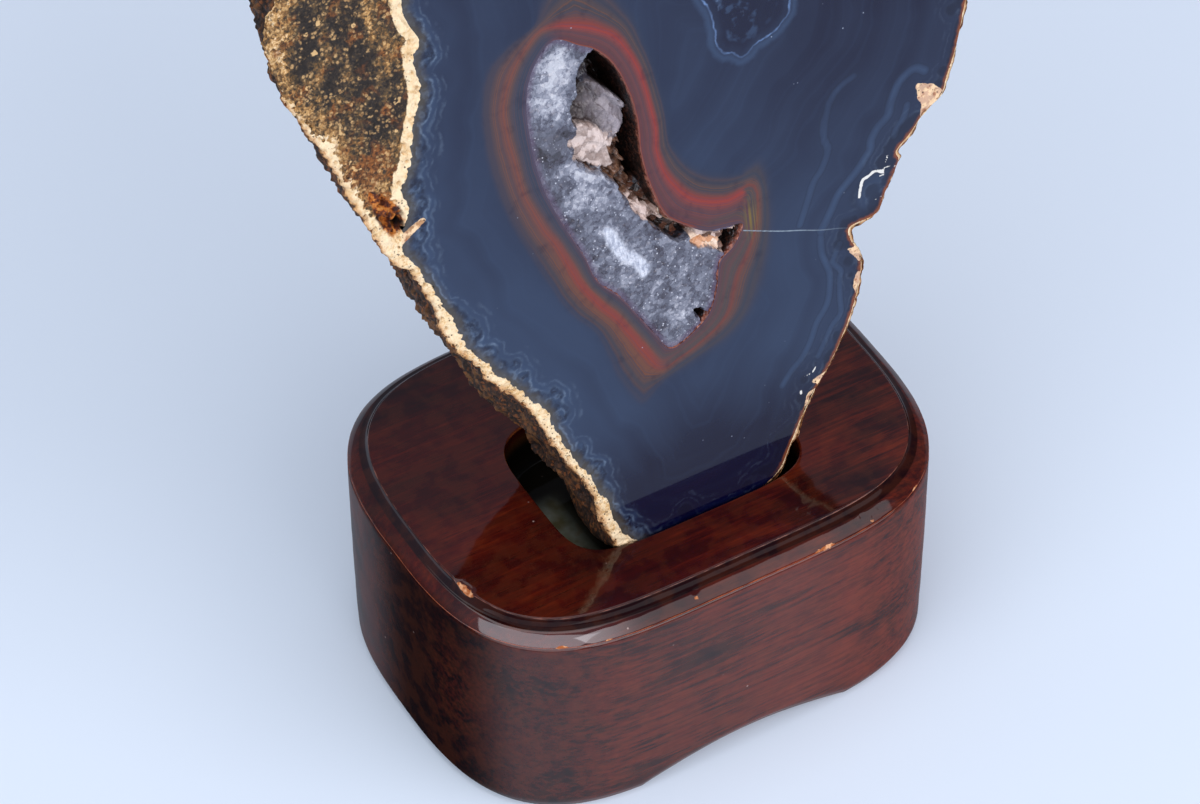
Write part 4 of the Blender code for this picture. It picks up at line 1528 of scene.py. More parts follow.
class AgateSlice:
    """The slice of the nodule: polished face, rind, host rock, skin and sawn back."""

    thickness: float = 22.0
    hollow_depth: float = 13.0
    foot_belly: float = 3.6
    skin_lean: tuple[Pair, ...] = (
        (-150.0, -1.2), (-129.0, 2.0), (-118.0, 2.0), (-109.0, 0.3), (-103.0, -2.6),
        (-90.0, 0.6), (-75.0, -1.8), (-50.0, -3.0), (0.0, -4.0), (30.0, -5.5), (60.0, -6.5),
        (90.0, -5.5), (120.0, -6.5), (143.0, -8.6), (152.0, -8.0), (160.0, -4.8),
        (170.0, -4.2), (183.0, -2.6), (197.0, -3.0),
    )
    lean_centre: Pair = (0.0, 62.0)
    left_rows: tuple[int, int, int] = (34, 12, 44)
    right_rows: tuple[int, int, int] = (34, 42, 26)
    orb_count: int = 330
    seed: int = 5

    def __init__(self) -> None:
        """Work out the rays and the rings that the slice's surfaces share."""
        self.headings = Fan().headings()
        self.aim = np.stack([np.cos(self.headings), np.sin(self.headings)], axis=-1)
        self.hollow = HOLLOW.reach(self.headings, HEART)
        plain = self.along(FACE_EDGE.reach(self.headings, HEART))
        tangent = np.roll(plain, -4, axis=0) - np.roll(plain, 4, axis=0)
        normal = np.stack([tangent[:, 1], -tangent[:, 0]], axis=-1)
        self.outward = normal / np.linalg.norm(normal, axis=-1, keepdims=True)
        self.left = smooth_step(np.abs(np.degrees(self.headings)), 93.0, 99.0)
        self.low = np.clip(1.0 - (plain[:, 1] + 2.0) / 7.0, 0.0, 1.0)
        spot = self.deep(plain, 0.0)
        crumbs = 0.24 * Grain.rough(spot, 2.1, 3, 3) + 0.20 * Grain.rough(spot, 0.7, 4, 2)
        bumps = 0.42 * Grain.soft(spot, 3.6, 6) + 0.26 * Grain.soft(spot, 1.7, 7)
        crumbs = crumbs * (0.85 + 0.55 * self.left) + bumps * (1.0 - self.left)
        crumbs = crumbs * (1.0 - 0.7 * self.low) - 0.22
        self.rim = plain + crumbs[:, None] * self.outward
        contact = self.along(AGATE_EDGE.reach(self.headings, HEART))
        spot = self.deep(contact, 0.0)
        scallop = np.abs(Grain.soft(spot, 1.15, 8)) - 0.35 + 0.35 * Grain.rough(spot, 0.5, 9, 2)
        reach = np.linalg.norm(contact - HEART, axis=-1) - scallop * (0.12 + 0.55 * self.left)
        self.contact = np.minimum(reach, np.linalg.norm(self.rim - HEART, axis=-1) - 0.25)

    def along(self, far: np.ndarray, columns: slice | np.ndarray = slice(None)) -> np.ndarray:
        """Places on the face at a distance from the heart along every ray, or a run of rays."""
        return np.array(HEART) + far[..., None] * self.aim[columns]

    @staticmethod
    def deep(flat: np.ndarray, depth: np.ndarray | float) -> np.ndarray:
        """Places on the face with a depth as third coordinate, in millimetres."""
        return np.concatenate([flat, np.broadcast_to(depth, flat.shape[:-1])[..., None]], axis=-1)

    def band_traits(self, flat: np.ndarray, edge: Line, columns: slice | np.ndarray = slice(None),
                    squeeze: float = 1.0) -> dict[str, np.ndarray]:
        """Numbers that place the agate's bands.

        Formula: edge is the distance to the rind. warm is 0 at the stain's outer limit, 0.5 on
        the red band and 1 at the hollow, and between two of these lines it is shared out by
        the distances to both.

        Args:
            flat: places on the face.
            edge: the line where the agate ends.
            columns: numbers of the rays that the places lie on.
            squeeze: how much smaller the warm bands' rings are than on the polished face.

        Returns:
            The traits by name.
        """
        pinched = np.array(HEART) + (flat - HEART) / squeeze
        to_hollow, to_red = HOLLOW.depth(pinched), RED_BAND.depth(pinched)
        to_limit = STAIN_LIMIT.depth(pinched)
        inner = 0.5 + 0.5 * to_red / np.maximum(to_red - to_hollow, 1e-6)
        outer = 0.5 * to_limit / np.maximum(to_limit - to_red, 1e-6)
        outer = np.where(to_limit > 0.0, outer, to_limit * 0.08)
        warm = np.where(to_hollow > 0.0, 1.0 + to_hollow * 0.1,
                        np.where(to_red > 0.0, inner, outer))
        turn = np.broadcast_to(np.degrees(self.headings[columns]), flat.shape[:-1])
        from_edge = edge.distance(flat, 3)
        far = np.full(flat.shape[:-1], 30.0)
        return {
            "warm": np.clip(warm, -1.0, 2.0),
            "edge": from_edge,
            "growth": from_edge - 0.9,
            "left": np.broadcast_to(self.left[columns], flat.shape[:-1]),
            "lobe": smooth_step(turn, -6.0, 1.0) * smooth_step(turn, 106.0, 100.0),
            "faint": np.maximum(smooth_step(turn, -92.0, -80.0) * smooth_step(turn, 4.0, -6.0),
                                smooth_step(flat[..., 0], 12.9, 13.3) * (flat[..., 1] < 58.0)),
            "eye": -far, "eye_core": far, "crack": far, "mark": far, "chalk": -far,
            "veil": far * 0.0, "olive": far * 0.0,
        }

    def orbs(self, flat: np.ndarray) -> np.ndarray:
        """Distance to a wavy front of many small spheres cut through beside the rind.

        Formula: the centres lie a mixed step inside the rind, most of them close to it, and
        the distances to them less their radii blend into one as -log(sum(exp(-k d))) / k.

        Args:
            flat: places on the face.

        Returns:
            The distance at each place.
        """
        rng = np.random.default_rng(self.seed)
        marks = np.sort(rng.uniform(0.0, len(AGATE_EDGE.points), self.orb_count))
        feet = AGATE_EDGE.at(marks)
        inward = np.array(HEART) - feet
        inward /= np.linalg.norm(inward, axis=-1, keepdims=True)
        inset = 0.2 + 3.0 * rng.uniform(0.0, 1.0, self.orb_count) ** 2.0
        reach = rng.uniform(0.40, 1.35, self.orb_count)
        total = np.full(flat.shape[:-1], 1e-9)
        for centre, radius in zip(feet + inset[:, None] * inward, reach):
            away = np.hypot(flat[..., 0] - centre[0], flat[..., 1] - centre[1]) - radius
            total += np.exp(-3.0 * away)
        return -np.log(total) / 3.0

    def face(self, name: str, columns: np.ndarray, rows: tuple[int, int, int]) -> Sheet:
        """Polished agate over a run of rays, from the hollow out to the rind.

        Formula: each ray carries close rows for the first 9.5 mm from the hollow and for the
        last 8 mm before the rind, and even rows between.

        Args:
            name: the piece's name.
            columns: numbers of the rays that it covers.
            rows: rows near the hollow, between, and near the rind.

        Returns:
            The surface.
        """
        near = np.linspace(0.0, 9.5, rows[0])[:, None]
        share = np.linspace(0.0, 1.0, rows[1] + 2)[1:-1, None]
        far = np.linspace(8.0, 0.0, rows[2])[:, None]
        hollow, contact = self.hollow[columns], self.contact[columns]
        start, end = hollow + near[-1], contact - far[0]
        flat = self.along(np.vstack([hollow + near, start + (end - start) * share, contact - far]),
                          columns)
        traits = self.band_traits(flat, AGATE_EDGE, columns)
        chalk = np.max([patch.depth(flat) for patch in CHALK_PATCHES], axis=0)
        veil = [amount * np.exp(-(line.distance(flat) / width) ** 2)
                for amount, width, line in VEILS]
        traits |= {
            "growth": np.minimum(traits["growth"], self.orbs(flat)),
            "eye": EYE.depth(flat),
            "eye_core": EYE_CORE.distance(flat),
            "crack": CRACK.distance(flat),
            "mark": np.min([line.distance(flat) - half for half, line in WHITE_MARKS], axis=0),
            "chalk": chalk,
            "veil": np.max(veil, axis=0),
            "olive": np.exp(-(flat[..., 0] - 13.7) ** 2 - ((flat[..., 1] - 47.4) / 2.6) ** 2),
        }
        pits = np.clip(Grain.rough(self.deep(flat, 0.0), 1.1, 12, 3) + 0.35, 0.0, 1.0)
        depth = 0.45 * pits * smooth_step(chalk, -0.1, 0.5)
        return Sheet(name, PLANE.place(flat, depth), traits, wrap=False, turned=True)

    def hollow_wall(self) -> Sheet:
        """Druse on the hollow's own wall, from its foot up to the polished face.

        Returns:
            The surface.
        """
        depth = np.linspace(self.hollow_depth, 0.0, 22)[:, None]
        spot = self.deep(self.along(self.hollow + 0.0 * depth), depth)
        lumps = 0.5 + 0.5 * Grain.rough(spot, 1.3, 14, 3)
        bulge = 0.75 * np.clip(lumps, 0.0, 1.2) * smooth_step(depth, 0.0, 0.9)
        flat = self.along(self.hollow - bulge)
        traits = {"drop": depth * np.ones_like(bulge)}
        return Sheet("hollow_wall", PLANE.place(flat, depth), traits, turned=True)

    def rind(self, name: str, columns: np.ndarray, rows: int) -> Sheet:
        """Rind from the agate out to the skin, over a run of rays.

        Formula: even rows between the two edges. The surface sinks into pores and grains by
        rough noise, most in the host rock, and rounds off over its last part.

        Args:
            name: the piece's name.
            columns: numbers of the rays that it covers.
            rows: rows from the agate to the skin.

        Returns:
            The surface.
        """
        share = np.linspace(0.0, 1.0, rows)[:, None, None]
        start = self.along(self.contact)[columns]
        end = self.rim[columns]
        flat = start + (end - start) * share
        rock, tip = HOST_ROCK.depth(flat), STAINED_TIP.depth(flat)
        hole = TIP_HOLE.depth(flat)
        from_agate, from_skin = AGATE_EDGE.distance(flat, 3), FACE_EDGE.distance(flat, 3)
        spot = self.deep(flat, 0.0)
        grit, _, _ = Grain.pebbles(flat, 0.62, 21)
        coarse, _, _ = Grain.pebbles(flat + 3.7, 1.7, 24)
        grain_relief = (0.10 * smooth_step(grit, 0.15, 0.75) + 0.16 * smooth_step(coarse, 0.2, 0.8)
                        + 0.20 * np.clip(0.8 + Grain.rough(spot, 0.9, 25, 3), 0.0, 2.0))
        pores, tag, _ = Grain.pebbles(flat, 1.3, 27)
        pore_relief = 0.7 * smooth_step(pores, 0.26, 0.14) * (tag > 0.45)
        ripple = 0.16 * np.clip(1.0 + 1.2 * Grain.rough(spot, 1.2, 29, 4), 0.0, 3.0)
        rocky = smooth_step(rock + 0.5 * Grain.soft(spot, 1.1, 30), -0.15, 0.25)
        depth = rocky * (0.10 + grain_relief) + (1.0 - rocky) * (ripple + pore_relief)
        worn_tip = np.clip(0.6 + Grain.rough(spot, 1.0, 33, 2), 0.0, 1.2)
        depth += 1.4 * smooth_step(tip, -0.2, 1.0) * worn_tip
        depth += 2.6 * smooth_step(hole, -0.3, 0.5)
        depth *= smooth_step(from_agate, 0.0, 0.5)
        rounding = np.maximum(0.0, 1.0 - np.linalg.norm(end - flat, axis=-1) / 0.8)
        depth += self.edge_depth()[columns] * rounding ** 2
        traits = {
            "rock": rock, "tip": tip, "hole": hole, "from_skin": from_skin,
            "crusty": smooth_step(from_skin, 6.5, 1.0),
        }
        return Sheet(name, PLANE.place(flat, depth), traits, wrap=False, turned=True)

    def edge_depth(self) -> np.ndarray:
        """How far behind the face the broken edge of the rind lies, along every ray."""
        chips = Grain.rough(self.deep(self.rim, 0.0), 2.2, 41, 3)
        return 0.28 + 0.30 * np.clip(chips + 0.2, 0.0, 1.0) * (0.5 + self.left)

    def skin(self) -> Sheet:
        """Rough skin from the broken front edge to the sawn back.

        Formula: the rim moves out or in by a lean that grows with the depth to the power 1.5,
        the foot swells by a half sine, and rough noise of four sizes with layers along the
        edge is added square to the outline, all fading out at both cuts.

        Returns:
            The surface.
        """
        depth = np.concatenate([np.linspace(0.0, 1.0, 8)[:-1] * 1.2,
                                np.linspace(1.2, self.thickness - 0.4, 52),
                                [self.thickness - 0.12, self.thickness]])[:, None]
        front = self.edge_depth()
        depth = np.maximum(depth, front + depth * (1.0 - front / self.thickness))
        depth[-1] = self.thickness
        share = np.clip(depth / self.thickness, 0.0, 1.0)
        offset = self.rim - self.lean_centre
        angles, moves = zip(*self.skin_lean)
        heading = np.degrees(np.arctan2(offset[:, 1], offset[:, 0]))
        lean = np.interp(heading, angles, moves, period=360.0) * share ** 1.5
        downward = np.clip(-self.outward[:, 1], 0.0, 1.0)
        belly = (self.foot_belly * self.low * downward ** 2
                 * np.sin(math.pi * np.clip(share * 1.15, 0.0, 1.0)) ** 0.7)
        base = self.rim + (lean + belly)[..., None] * self.outward
        spot = self.deep(base, depth)
        into = depth - front
        near_cut = np.clip(into / 0.9, 0.0, 1.0) * np.clip((self.thickness - depth) / 0.8, 0.0, 1.0)
        knobs = Grain.rough(spot, 1.5, 53, 3)
        layers = Grain.rough(spot * [0.16, 0.16, 1.0], 0.9, 57, 3)
        rough = (0.85 * Grain.rough(spot, 5.5, 51, 3) + 0.34 * knobs + 0.22 * layers
                 + 0.10 * Grain.rough(spot, 0.5, 59, 2) - 0.55)
        rough = rough * near_cut * (1.0 - 0.85 * self.low)
        flat = base + rough[..., None] * self.outward
        traits = {
            "depth": into,
            "knob": np.clip(knobs + 0.5 * layers, -1.0, 1.0),
            # Rises towards the sawn back: painted light on the back rim.
            "worn": smooth_step(share, 0.55, 1.0) * np.ones_like(into),
        }
        self.back_rim = flat[-1]
        return Sheet("agate_skin", PLANE.place(flat, depth), traits, turned=True)

    def back(self) -> Sheet:
        """Sawn back: rings from the skin to the heart, with the agate's bands on a smaller core.

        Returns:
            The surface.
        """
        edge = Line(tuple(map(tuple, self.back_rim[::8])))
        share = np.concatenate([np.linspace(0.0, 0.12, 10), np.linspace(0.12, 0.97, 44)[1:]])
        share = share[:, None]
        offset = self.back_rim - np.array(HEART)
        turn = np.unwrap(np.arctan2(offset[:, 1], offset[:, 0]))
        sense = np.sign(turn[-1] - turn[0])
        turn = turn + (sense * np.sort(sense * turn) - turn) * smooth_step(share, 0.0, 0.02)
        aim = np.stack([np.cos(turn), np.sin(turn)], axis=-1)
        far = (1.0 - share) * np.linalg.norm(offset, axis=-1)
        flat = np.array(HEART) + far[..., None] * aim
        traits = self.band_traits(flat, edge, squeeze=0.8)
        crust = 1.5 + 0.7 * Grain.soft(self.deep(flat, 0.0), 6.0, 61)
        traits |= {"chalk": crust - traits["edge"]}
        depth = np.full(flat.shape[:-1], self.thickness)
        return Sheet("agate_back", PLANE.place(flat, depth), traits, pole=True, turned=True)

    def build(self) -> list[bpy.types.Object]:
        """Make the slice's pieces and dress them.

        Returns:
            The pieces.
        """
        count = len(self.headings)
        numbers = np.arange(count)
        is_left = np.abs(np.degrees(self.headings)) > 97.0
        left_run = np.concatenate([numbers[is_left & (self.headings > 0.0)],
                                   numbers[is_left & (self.headings < 0.0)]])
        right_run = np.arange(left_run[-1], left_run[0] + 1)
        rind = RindFinish()
        polish = AgateFinish(Polish.MIRROR).material("agate_polished")
        pieces = [
            self.face("agate_face_left", left_run, self.left_rows).build(polish, "agate_slice"),
            self.face("agate_face_right", right_run, self.right_rows).build(polish, "agate_slice"),
            self.rind("host_rock_and_rind", left_run, 100).build(rind.material("rind"),
                                                                 "agate_slice"),
            self.rind("thin_rind", right_run, 8).build(rind.material("thin_rind"), "agate_slice"),
            self.skin().build(SkinFinish().material("nodule_skin"), "agate_slice"),
            self.back().build(AgateFinish(Polish.SAWN).material("agate_sawn"), "agate_slice"),
        ]
        for piece in pieces:
            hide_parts("agate_slice")
        wall = self.hollow_wall().build(DruseFinish().material("druse"), "quartz_crust")
        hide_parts("quartz_crust")
        return [*pieces, wall]


class QuartzCrust:
    """The crust of crystals in the hollow, as one relief between its left and right edges."""

    rows: int = 470
    columns: int = 150
    overlap: float = 0.25
    ties: tuple[tuple[float, float], ...] = (
        (0.0, 28.0), (2.0, 25.0), (4.0, 22.0), (6.0, 20.0), (7.0, 16.2), (8.0, 14.0),
        (9.0, 12.0), (10.0, 10.0),
    )
    seed: int = 17
    drift: Pair = (0.50, -0.58)
    sunk: tuple[tuple[str, float], ...] = (
        ("shade", 2.2), ("ledge", 1.2), ("smoke", 3.0), ("brown", 2.6), ("seam", 0.8),
        ("cream", 0.6), ("pitchy", 1.8),
    )

    def flat_grid(self) -> np.ndarray:
        """Places on the face, in rows from the top of the hollow to its lower tip.

        Formula: a row's ends are matched marks on the hollow's left and right sides, moved
        out by the overlap, and its places are evenly shared between them.

        Returns:
            The grid of places.
        """
        left_ties, right_ties = zip(*self.ties)
        run = np.linspace(0.0, len(self.ties) - 1.0, self.rows)
        steps = np.arange(len(self.ties))
        left = HOLLOW.at(np.interp(run, steps, left_ties))
        right = HOLLOW.at(np.interp(run, steps, right_ties))
        gap = right - left
        away = gap / np.maximum(np.linalg.norm(gap, axis=-1, keepdims=True), 1e-6)
        left, right = left - self.overlap * away, right + self.overlap * away
        share = np.linspace(0.0, 1.0, self.columns)[None, :, None]
        return left[:, None] + (right - left)[:, None] * share

    def surface(self, flat: np.ndarray) -> tuple[np.ndarray, dict[str, np.ndarray]]:
        """Depth of the crust below the face, and the areas that its colours follow.

        Formula: a flush cut surface with faint facets; each broken area, and its copy moved as
        far along the drift as it lies deep, sinks to its own depth over a short slope at its
        edge, and its crystals' tilted planes stand up from it. The glow is a sum of soft round
        patches, read in part at the middle of each crystal, so that whole crystals are lit.

        Args:
            flat: grid of places on the face.

        Returns:
            The depth at each place, and the traits by name.
        """
        spot = np.concatenate([flat, np.zeros(flat.shape[:-1] + (1,))], axis=-1)
        wobble = 0.22 * Grain.rough(spot, 0.9, self.seed, 3)
        sunk = dict(self.sunk)
        reach = {}
        for name, lines in CRUST_AREAS.items():
            grids = [flat]
            if name in sunk:
                grids.append(flat - sunk[name] * np.array(self.drift))
            reach[name] = wobble + np.max([line.depth(grid) for line in lines for grid in grids],
                                          axis=0)
        fine, medium = Grain.facets(flat, 0.7, 71), Grain.facets(flat, 1.5, 75)
        coarse = Grain.facets(flat, 2.8, 79)
        depth = 0.08 + 0.24 * (1.0 - Grain.facets(flat, 1.2, 83)) + 0.10 * (1.0 - fine)
        tilt = 0.12 * (flat[..., 1] - 71.0)
        for name, drop, slope, tips in (
            ("void", 11.0 + 0.8 * (1.0 - coarse), 0.9, 0.8),
            ("smoke", 4.6 + 1.4 * (1.0 - coarse), 0.7, 0.6),
            ("brown", 3.6 + 1.8 * (1.0 - medium), 0.5, 0.7),
            ("shade", 2.4 + tilt + 1.2 * (1.0 - coarse), 0.5, 0.6),
            ("ledge", 1.2 - tilt + 0.9 * (1.0 - coarse), 0.4, 0.4),
            ("seam", 0.7 + 1.8 * (1.0 - medium) * (0.5 + coarse), 0.5, 0.5),
            ("pitchy", 3.6 + 0.8 * (1.0 - medium), 0.5, 0.4),
            ("cream", 0.8 + 0.9 * (1.0 - medium), 0.4, 0.3),
        ):
            share = smooth_step(reach[name], -0.5 * slope, 0.5 * slope)
            depth = depth + (drop - tips * medium - depth) * share
        uneven = flat + 0.40 * np.stack(
            [Grain.rough(spot, 0.9, seed, 3) for seed in (87, 89)], axis=-1)
        glow = np.zeros(flat.shape[:-1])
        for size, share in ((0.0, 0.35), (1.9, 0.35), (1.0, 0.30)):
            place = flat
            if size:
                _, tag, step = Grain.pebbles(uneven, size, 85)
                place = uneven + size * step
                glow += 0.34 * share * (tag - 0.5)
            for x, v, radius, amount in GLOWS:
                away = np.hypot(place[..., 0] - x, place[..., 1] - v)
                glow += share * amount * np.exp(-(away / radius) ** 2)
        traits = {name: value for name, value in reach.items() if name != "void"}
        traits |= {"drop": depth, "glow": glow, "facet": coarse - 0.5,
                   "rimward": HOLLOW.depth(flat)}
        return np.maximum(depth, 0.05), traits

    def build(self) -> list[bpy.types.Object]:
        """Make the crust and dress it.

        Returns:
            The one piece.
        """
        flat = self.flat_grid()
        depth, areas = self.surface(flat)
        sheet = Sheet("quartz_lining", PLANE.place(flat, depth), areas, wrap=False, turned=False)
        piece = sheet.build(QuartzFinish().material("quartz"), "quartz_crust")
        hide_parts("quartz_crust")
        return [piece]


@dataclass
class WoodStand:
    """The stand: a moulded block with a recess in its top and an arch through its foot."""

    left: float = 40.0
    right: float = 39.2
    half_depth: float = 29.6
    plan_powers: Pair = (4.6, 2.9)
    recess_half: tuple[float, float, float] = (21.2, 20.3, 15.2)
    recess_middle: float = -4.2
    recess_power: float = 4.85
    recess_rim: float = 0.35
    recess_depth: float = 8.1
    wall_bulge: float = 3.55
    wall_foot: float = 3.20
    foot_ease: float = 0.80
    arch_half: float = 18.5
    arch_height: float = 3.2
    stations: int = 520
    moulding: tuple[Pair, ...] = (
        (3.48, 3.14), (3.43, 3.06), (3.48, 2.98), (3.42, 2.86), (3.28, 2.68), (3.06, 2.42),
        (2.80, 2.14), (2.50, 1.87), (2.20, 1.63), (1.92, 1.43), (1.70, 1.31), (1.54, 1.26),
        (1.40, 1.25), (1.22, 1.20), (1.02, 1.11), (0.84, 1.00), (0.67, 0.86), (0.51, 0.69),
        (0.38, 0.51), (0.25, 0.31), (0.13, 0.13), (0.0, 0.03), (-0.20, 0.0), (-0.34, 0.0),
    )
    chip: tuple[float, float, float] = (-39.3, -15.0, 41.0)
    chip_size: tuple[float, float, float] = (1.2, 2.9, 0.75)
    bare_spots: tuple[tuple[tuple[float, float, float], tuple[float, float, float]], ...] = (
        ((13.2, -32.6, 38.1), (3.0, 1.6, 0.42)), ((-31.8, -30.6, 38.1), (2.6, 2.0, 0.42)),
        ((22.0, -32.4, 38.6), (1.0, 0.8, 0.5)), ((-9.3, -31.9, 38.9), (0.7, 0.7, 0.5)),
        ((-24.5, -32.4, 38.1), (1.2, 1.0, 0.30)), ((31.5, -29.6, 38.1), (1.4, 1.4, 0.28)),
    )
    dents: tuple[tuple[float, float, float, float, float], ...] = (
        (-9.3, -31.2, 39.3, 0.9, 0.30), (-8.6, -31.6, 38.9, 0.6, 0.25),
        (20.8, -31.2, 39.4, 0.8, 0.22), (22.6, -31.6, 38.9, 0.8, 0.22),
        (24.0, -31.0, 39.3, 0.7, 0.2), (-9.0, -28.9, 40.6, 0.5, 0.25),
        (-15.6, -33.2, 0.6, 0.9, 0.5), (33.0, -24.8, 40.3, 0.9, 0.2),
    )

    def oblong(self, left: float, right: float, half_depth: float, powers: Pair) -> np.ndarray:
        """Anticlockwise plan of a rounded oblong at even steps: |x / a|^p + |y / b|^q = 1.

        Args:
            left: half-length to the left.
            right: half-length to the right.
            half_depth: half-depth.
            powers: p and q.

        Returns:
            The plan's places.
        """
        turn = np.linspace(0.0, 2.0 * math.pi, 2881)
        across, deep = np.cos(turn), np.sin(turn)
        x = (np.where(across < 0.0, left, right) * np.sign(across)
             * np.abs(across) ** (2.0 / powers[0]))
        y = half_depth * np.sign(deep) * np.abs(deep) ** (2.0 / powers[1])
        run = np.concatenate([[0.0], np.cumsum(np.hypot(np.diff(x), np.diff(y)))])
        steps = np.linspace(0.0, run[-1], self.stations, endpoint=False)
        return np.stack([np.interp(steps, run, x), np.interp(steps, run, y)], axis=-1)

    @staticmethod
    def outward(plan: np.ndarray) -> np.ndarray:
        """Unit normals of a closed anticlockwise plan.

        Args:
            plan: the plan's places.

        Returns:
            One normal for each place.
        """
        along = np.roll(plan, -2, axis=0) - np.roll(plan, 2, axis=0)
        normal = np.stack([along[:, 1], -along[:, 0]], axis=-1)
        return normal / np.linalg.norm(normal, axis=-1, keepdims=True)

    def arch(self, x: np.ndarray) -> np.ndarray:
        """Height of the foot's edge: a cosine hump to the power 0.8 over the arch's width."""
        share = np.clip(np.abs(x) / self.arch_half, 0.0, 1.0)
        return self.arch_height * np.cos(0.5 * math.pi * share) ** 0.8

    def outer_rows(self, plan: np.ndarray) -> tuple[list[np.ndarray], list[float]]:
        """Rings from the middle of the underside, up the wall and over the moulding.

        Formula: under the block, the plan shrinks to its middle and follows the arch. The wall
        runs from the arched foot to the moulding with a slight belly, a half sine of its
        height, and the moulding is its profile carried round the plan.

        Args:
            plan: plan of the top's edge.

        Returns:
            The rings, in millimetres, and how much each counts as the top's arris, or as the
            lower one where the number is negative.
        """
        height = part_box("wood_stand")[1][2] / MM
        normal = self.outward(plan)
        rings, arris = [], []
        foot = plan + (self.wall_foot - self.foot_ease) * normal
        for share in np.linspace(0.04, 1.0, 15):
            flat = foot * share
            rings.append(np.column_stack([flat, self.arch(flat[:, 0])]))
            arris.append(0.0)
        top = height - self.moulding[0][1]
        for share in np.concatenate([np.linspace(0.008, 0.05, 5), np.linspace(0.07, 1.0, 30)]):
            ease = math.sqrt(max(0.0, 1.0 - min(1.0, share / 0.05) ** 2))
            out = self.wall_foot - self.foot_ease * (1.0 - math.sqrt(1.0 - ease ** 2))
            belly = (self.wall_bulge - self.wall_foot) * math.sin(math.pi * share ** 0.8) ** 0.6
            lift = (self.moulding[0][0] - self.wall_foot) * share ** 3
            flat = plan + (out + belly + lift) * normal
            low = self.arch(flat[:, 0])
            rings.append(np.column_stack([flat, low + (top - low) * share]))
            arris.append(0.0)
        for out, down in self.moulding:
            rings.append(np.column_stack([plan + out * normal, np.full(len(plan), height - down)]))
            upper = math.exp(-((out - 0.10) / 0.13) ** 2)
            arris.append(upper - math.exp(-((down - 2.98) / 0.14) ** 2))
        return rings, arris

    def recess_rows(self, plan: np.ndarray) -> tuple[list[np.ndarray], list[float]]:
        """Rings across the top, over the recess's soft rim, and down to its floor's middle.

        Formula: across the top the plan blends into the recess's own plan. The rim is a
        quarter circle, the wall is straight, and the floor's edge is a quarter circle too.

        Args:
            plan: plan of the top's edge.

        Returns:
            The rings, in millimetres, and how deep each lies in the recess.
        """
        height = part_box("wood_stand")[1][2] / MM
        inner = self.oblong(*self.recess_half, (self.recess_power, self.recess_power))
        normal = self.outward(inner)
        inner = inner + [0.0, self.recess_middle]
        edge = plan + self.moulding[-1][0] * self.outward(plan)
        rim = self.recess_rim
        rings, deep = [], []
        for share in np.linspace(0.0, 1.0, 34)[1:-1]:
            flat = edge + (inner + rim * normal - edge) * share
            rings.append(np.column_stack([flat, np.full(len(flat), height)]))
            deep.append(0.0)
        for turn in np.linspace(0.0, 0.5 * math.pi, 8):
            flat = inner + rim * (1.0 - math.sin(turn)) * normal
            down = rim * (1.0 - math.cos(turn))
            rings.append(np.column_stack([flat, np.full(len(flat), height - down)]))
            deep.append(down)
        bowl = 2.2
        for down in np.linspace(rim, self.recess_depth - bowl, 12)[1:]:
            rings.append(np.column_stack([inner, np.full(len(inner), height - down)]))
            deep.append(down)
        for turn in np.linspace(0.0, 0.5 * math.pi, 10)[1:]:
            flat = inner - bowl * (1.0 - math.cos(turn)) * normal
            down = self.recess_depth - bowl * (1.0 - math.sin(turn))
            rings.append(np.column_stack([flat, np.full(len(flat), height - down)]))
            deep.append(down)
        middle = np.array([0.0, self.recess_middle])
        floor_edge = inner - bowl * normal
        for share in np.linspace(1.0, 0.05, 16)[1:]:
            flat = middle + (floor_edge - middle) * share
            rings.append(np.column_stack([flat, np.full(len(flat), height - self.recess_depth)]))
            deep.append(self.recess_depth)
        return rings, deep

    def aged(self, places: np.ndarray) -> tuple[np.ndarray, np.ndarray]:
        """The block's places with its slight waves, its chip and its dents.

        Formula: the sides move towards the block's middle by two sizes of noise. The chip is
        an ellipsoid with a ragged edge that sinks the top's edge by a power of its depth, and
        each dent is a round one that moves its places towards the middle.

        Args:
            places: places on the new block, in millimetres.

        Returns:
            The places moved, and the share of the chip at each.
        """
        wave = 0.05 * Grain.rough(places, 14.0, 91, 2) + 0.03 * Grain.rough(places, 3.0, 93, 2)
        away = places - [0.0, 0.0, 20.0]
        away /= np.maximum(np.linalg.norm(away, axis=-1, keepdims=True), 1e-6)
        on_side = smooth_step(places[..., 2], 1.0, 5.0) * smooth_step(places[..., 2], 40.9, 40.2)
        places = places - away * (0.05 + wave * on_side)[..., None] * on_side[..., None]
        ragged = 0.25 * Grain.rough(places, 1.0, 95, 3)[..., None]
        chip = 1.0 - np.linalg.norm((places - self.chip) / self.chip_size + ragged, axis=-1)
        places[..., 2] -= 0.75 * np.clip(chip, 0.0, 1.0) ** 0.7
        for *centre, size, depth in self.dents:
            near = np.clip(1.0 - np.linalg.norm(places - centre, axis=-1) / size, 0.0, 1.0)
            places = places - away * (depth * near ** 1.5)[..., None]
        return places, chip

